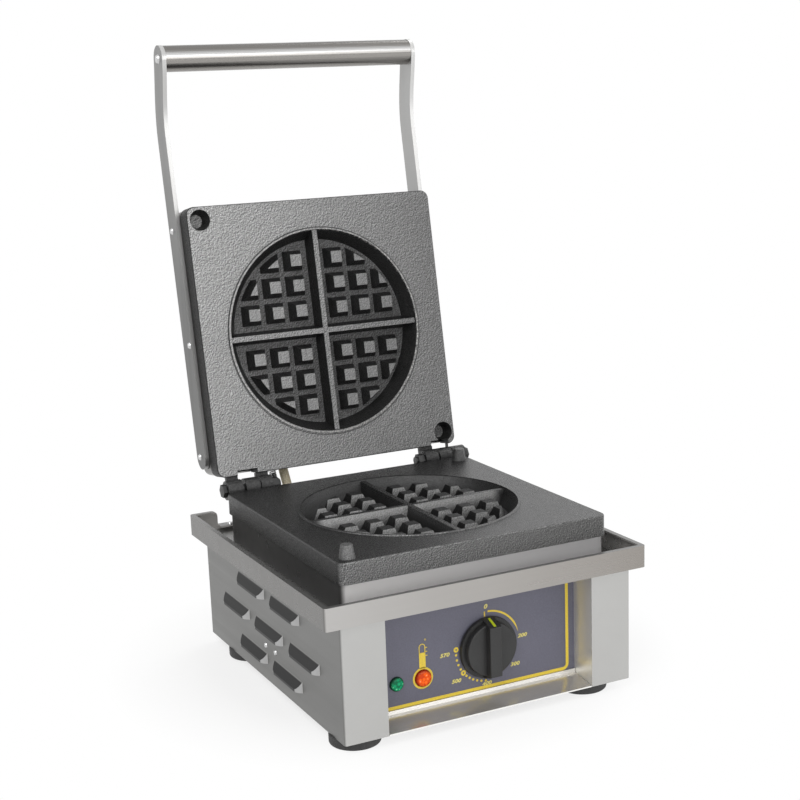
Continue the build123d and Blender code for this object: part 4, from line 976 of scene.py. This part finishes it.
class WAFFLE_OT_panel_print(bpy.types.Operator):
    """Print the border, the dial's marks and numbers, and the temperature sign"""

    bl_idname = "waffle.panel_print"
    bl_label = "Panel Print"

    def border(self, width):
        """Border line: down the left edge, along the foot and up the right edge, with round corners."""
        side, foot, top, corner = 91 * MM, 19 * MM, 107 * MM, 4.5 * MM
        left = arc_points(-side + corner, foot + corner, corner, 270, 180, 10)
        right = arc_points(side - corner, foot + corner, corner, 180, 90, 10)
        return line_print("border", [(-side, top)] + left + right + [(side, top)], width)

    def dial(self, radius):
        """Zero mark, rising arc, dots and rings round the knob."""
        zero_x = 8.6 * MM
        prints = [line_print("zero_mark", [(zero_x, 82.6 * MM), (zero_x, 87.2 * MM)], 1.1 * MM)]
        prints.append(self.rising_arc(arc_points(DIAL.x, DIAL.z, radius + 1.2 * MM, 2, 75, 30)))
        for angle in DOT_ANGLES:
            x, z = arc_points(DIAL.x, DIAL.z, radius, angle, angle, 1)[0]
            prints.append(disc_print("dot", x, z, 1.1 * MM))
        for angle in RING_ANGLES:
            x, z = arc_points(DIAL.x, DIAL.z, radius, angle, angle, 1)[0]
            prints.append(disc_print("ring", x, z, 2.4 * MM, 0.8 * MM))
        return prints

    def rising_arc(self, points):
        """Arc of one width whose last quarter narrows to a point."""
        full, tip, taper = 1.7 * MM, 0.2 * MM, 0.25
        outer, inner = [], []
        for index, (x, z) in enumerate(points):
            left_over = 1 - index / (len(points) - 1)
            width = full if left_over > taper else (full - tip) * left_over / taper + tip
            reach = Vector((x - DIAL.x, z - DIAL.z)).normalized() * width / 2
            outer.append((x + reach.x, z + reach.y))
            inner.append((x - reach.x, z - reach.y))
        return flat_print("rising_arc", outer + inner[::-1])

    def temperature_sign(self):
        """Ring round the amber lamp, filled stem, outlined tip, three ticks and a degree ring."""
        x, z = AMBER.x, AMBER.z
        stem = 3 * MM
        outline = 0.7 * MM
        wall = stem - outline / 2
        cap = arc_points(x, z + 27.5 * MM, wall, -90, 90, 12)
        tip = [(x - wall, z + 22 * MM)] + cap + [(x + wall, z + 22 * MM)]
        prints = [disc_print("bulb_ring", x, z, 9.6 * MM, 7.8 * MM),
                  line_print("stem_fill", [(x, z + 8.8 * MM), (x, z + 22.5 * MM)], 2 * stem),
                  line_print("stem_tip", tip, outline)]
        for rise in (19.5 * MM, 23 * MM, 26.5 * MM):
            tick = [(x + stem, z + rise), (x + stem + 1.9 * MM, z + rise)]
            prints.append(line_print("stem_tick", tick, 0.6 * MM))
        prints.append(disc_print("degree", x + 3.2 * MM, z + 33.6 * MM, 0.8 * MM, 0.4 * MM))
        return prints

    def execute(self, context):
        own = context.scene.waffle_looks
        ink = printed_ink("panel_ink", tuple(own.ink))
        pale = printed_ink("number_ink", tuple(own.pale_ink))
        marks = [self.border(own.border_width)] + self.dial(own.dial_radius) + self.temperature_sign()
        settle(marks, "panel_marks", ink, "base")
        numbers = [number_print(text, x * MM, z * MM, size * own.number_height)
                   for text, x, z, size in NUMBERS]
        settle(numbers, "dial_numbers", pale, "base")
        return {"FINISHED"}


class WAFFLE_PT_looks(bpy.types.Panel):
    """Panel that lists the settings and the steps"""

    bl_idname = "WAFFLE_PT_looks"
    bl_label = "Waffle Maker Looks"
    bl_space_type = "VIEW_3D"
    bl_region_type = "UI"
    bl_category = "Waffle"

    def draw(self, context):
        for name in ("ink", "pale_ink", "border_width", "number_height", "dial_radius", "iron_face",
                     "tray_tone", "floor_tone"):
            self.layout.prop(context.scene.waffle_looks, name)
        for operator in STEPS:
            self.layout.operator(operator.bl_idname)


STEPS = (WAFFLE_OT_camera, WAFFLE_OT_stage, WAFFLE_OT_sheet_metal, WAFFLE_OT_castings,
         WAFFLE_OT_inner_pieces, WAFFLE_OT_controls, WAFFLE_OT_panel_print)
CLASSES = (WaffleLooksSettings,) + STEPS + (WAFFLE_PT_looks,)


def register():
    for kind in CLASSES:
        bpy.utils.register_class(kind)
    bpy.types.Scene.waffle_looks = bpy.props.PointerProperty(type=WaffleLooksSettings)


def unregister():
    del bpy.types.Scene.waffle_looks
    for kind in reversed(CLASSES):
        bpy.utils.unregister_class(kind)


def main():
    register()
    bpy.ops.waffle.camera()
    bpy.ops.waffle.stage()
    bpy.ops.waffle.sheet_metal()
    bpy.ops.waffle.castings()
    bpy.ops.waffle.inner_pieces()
    bpy.ops.waffle.controls()
    bpy.ops.waffle.panel_print()


if __name__ == "__main__":
    main()
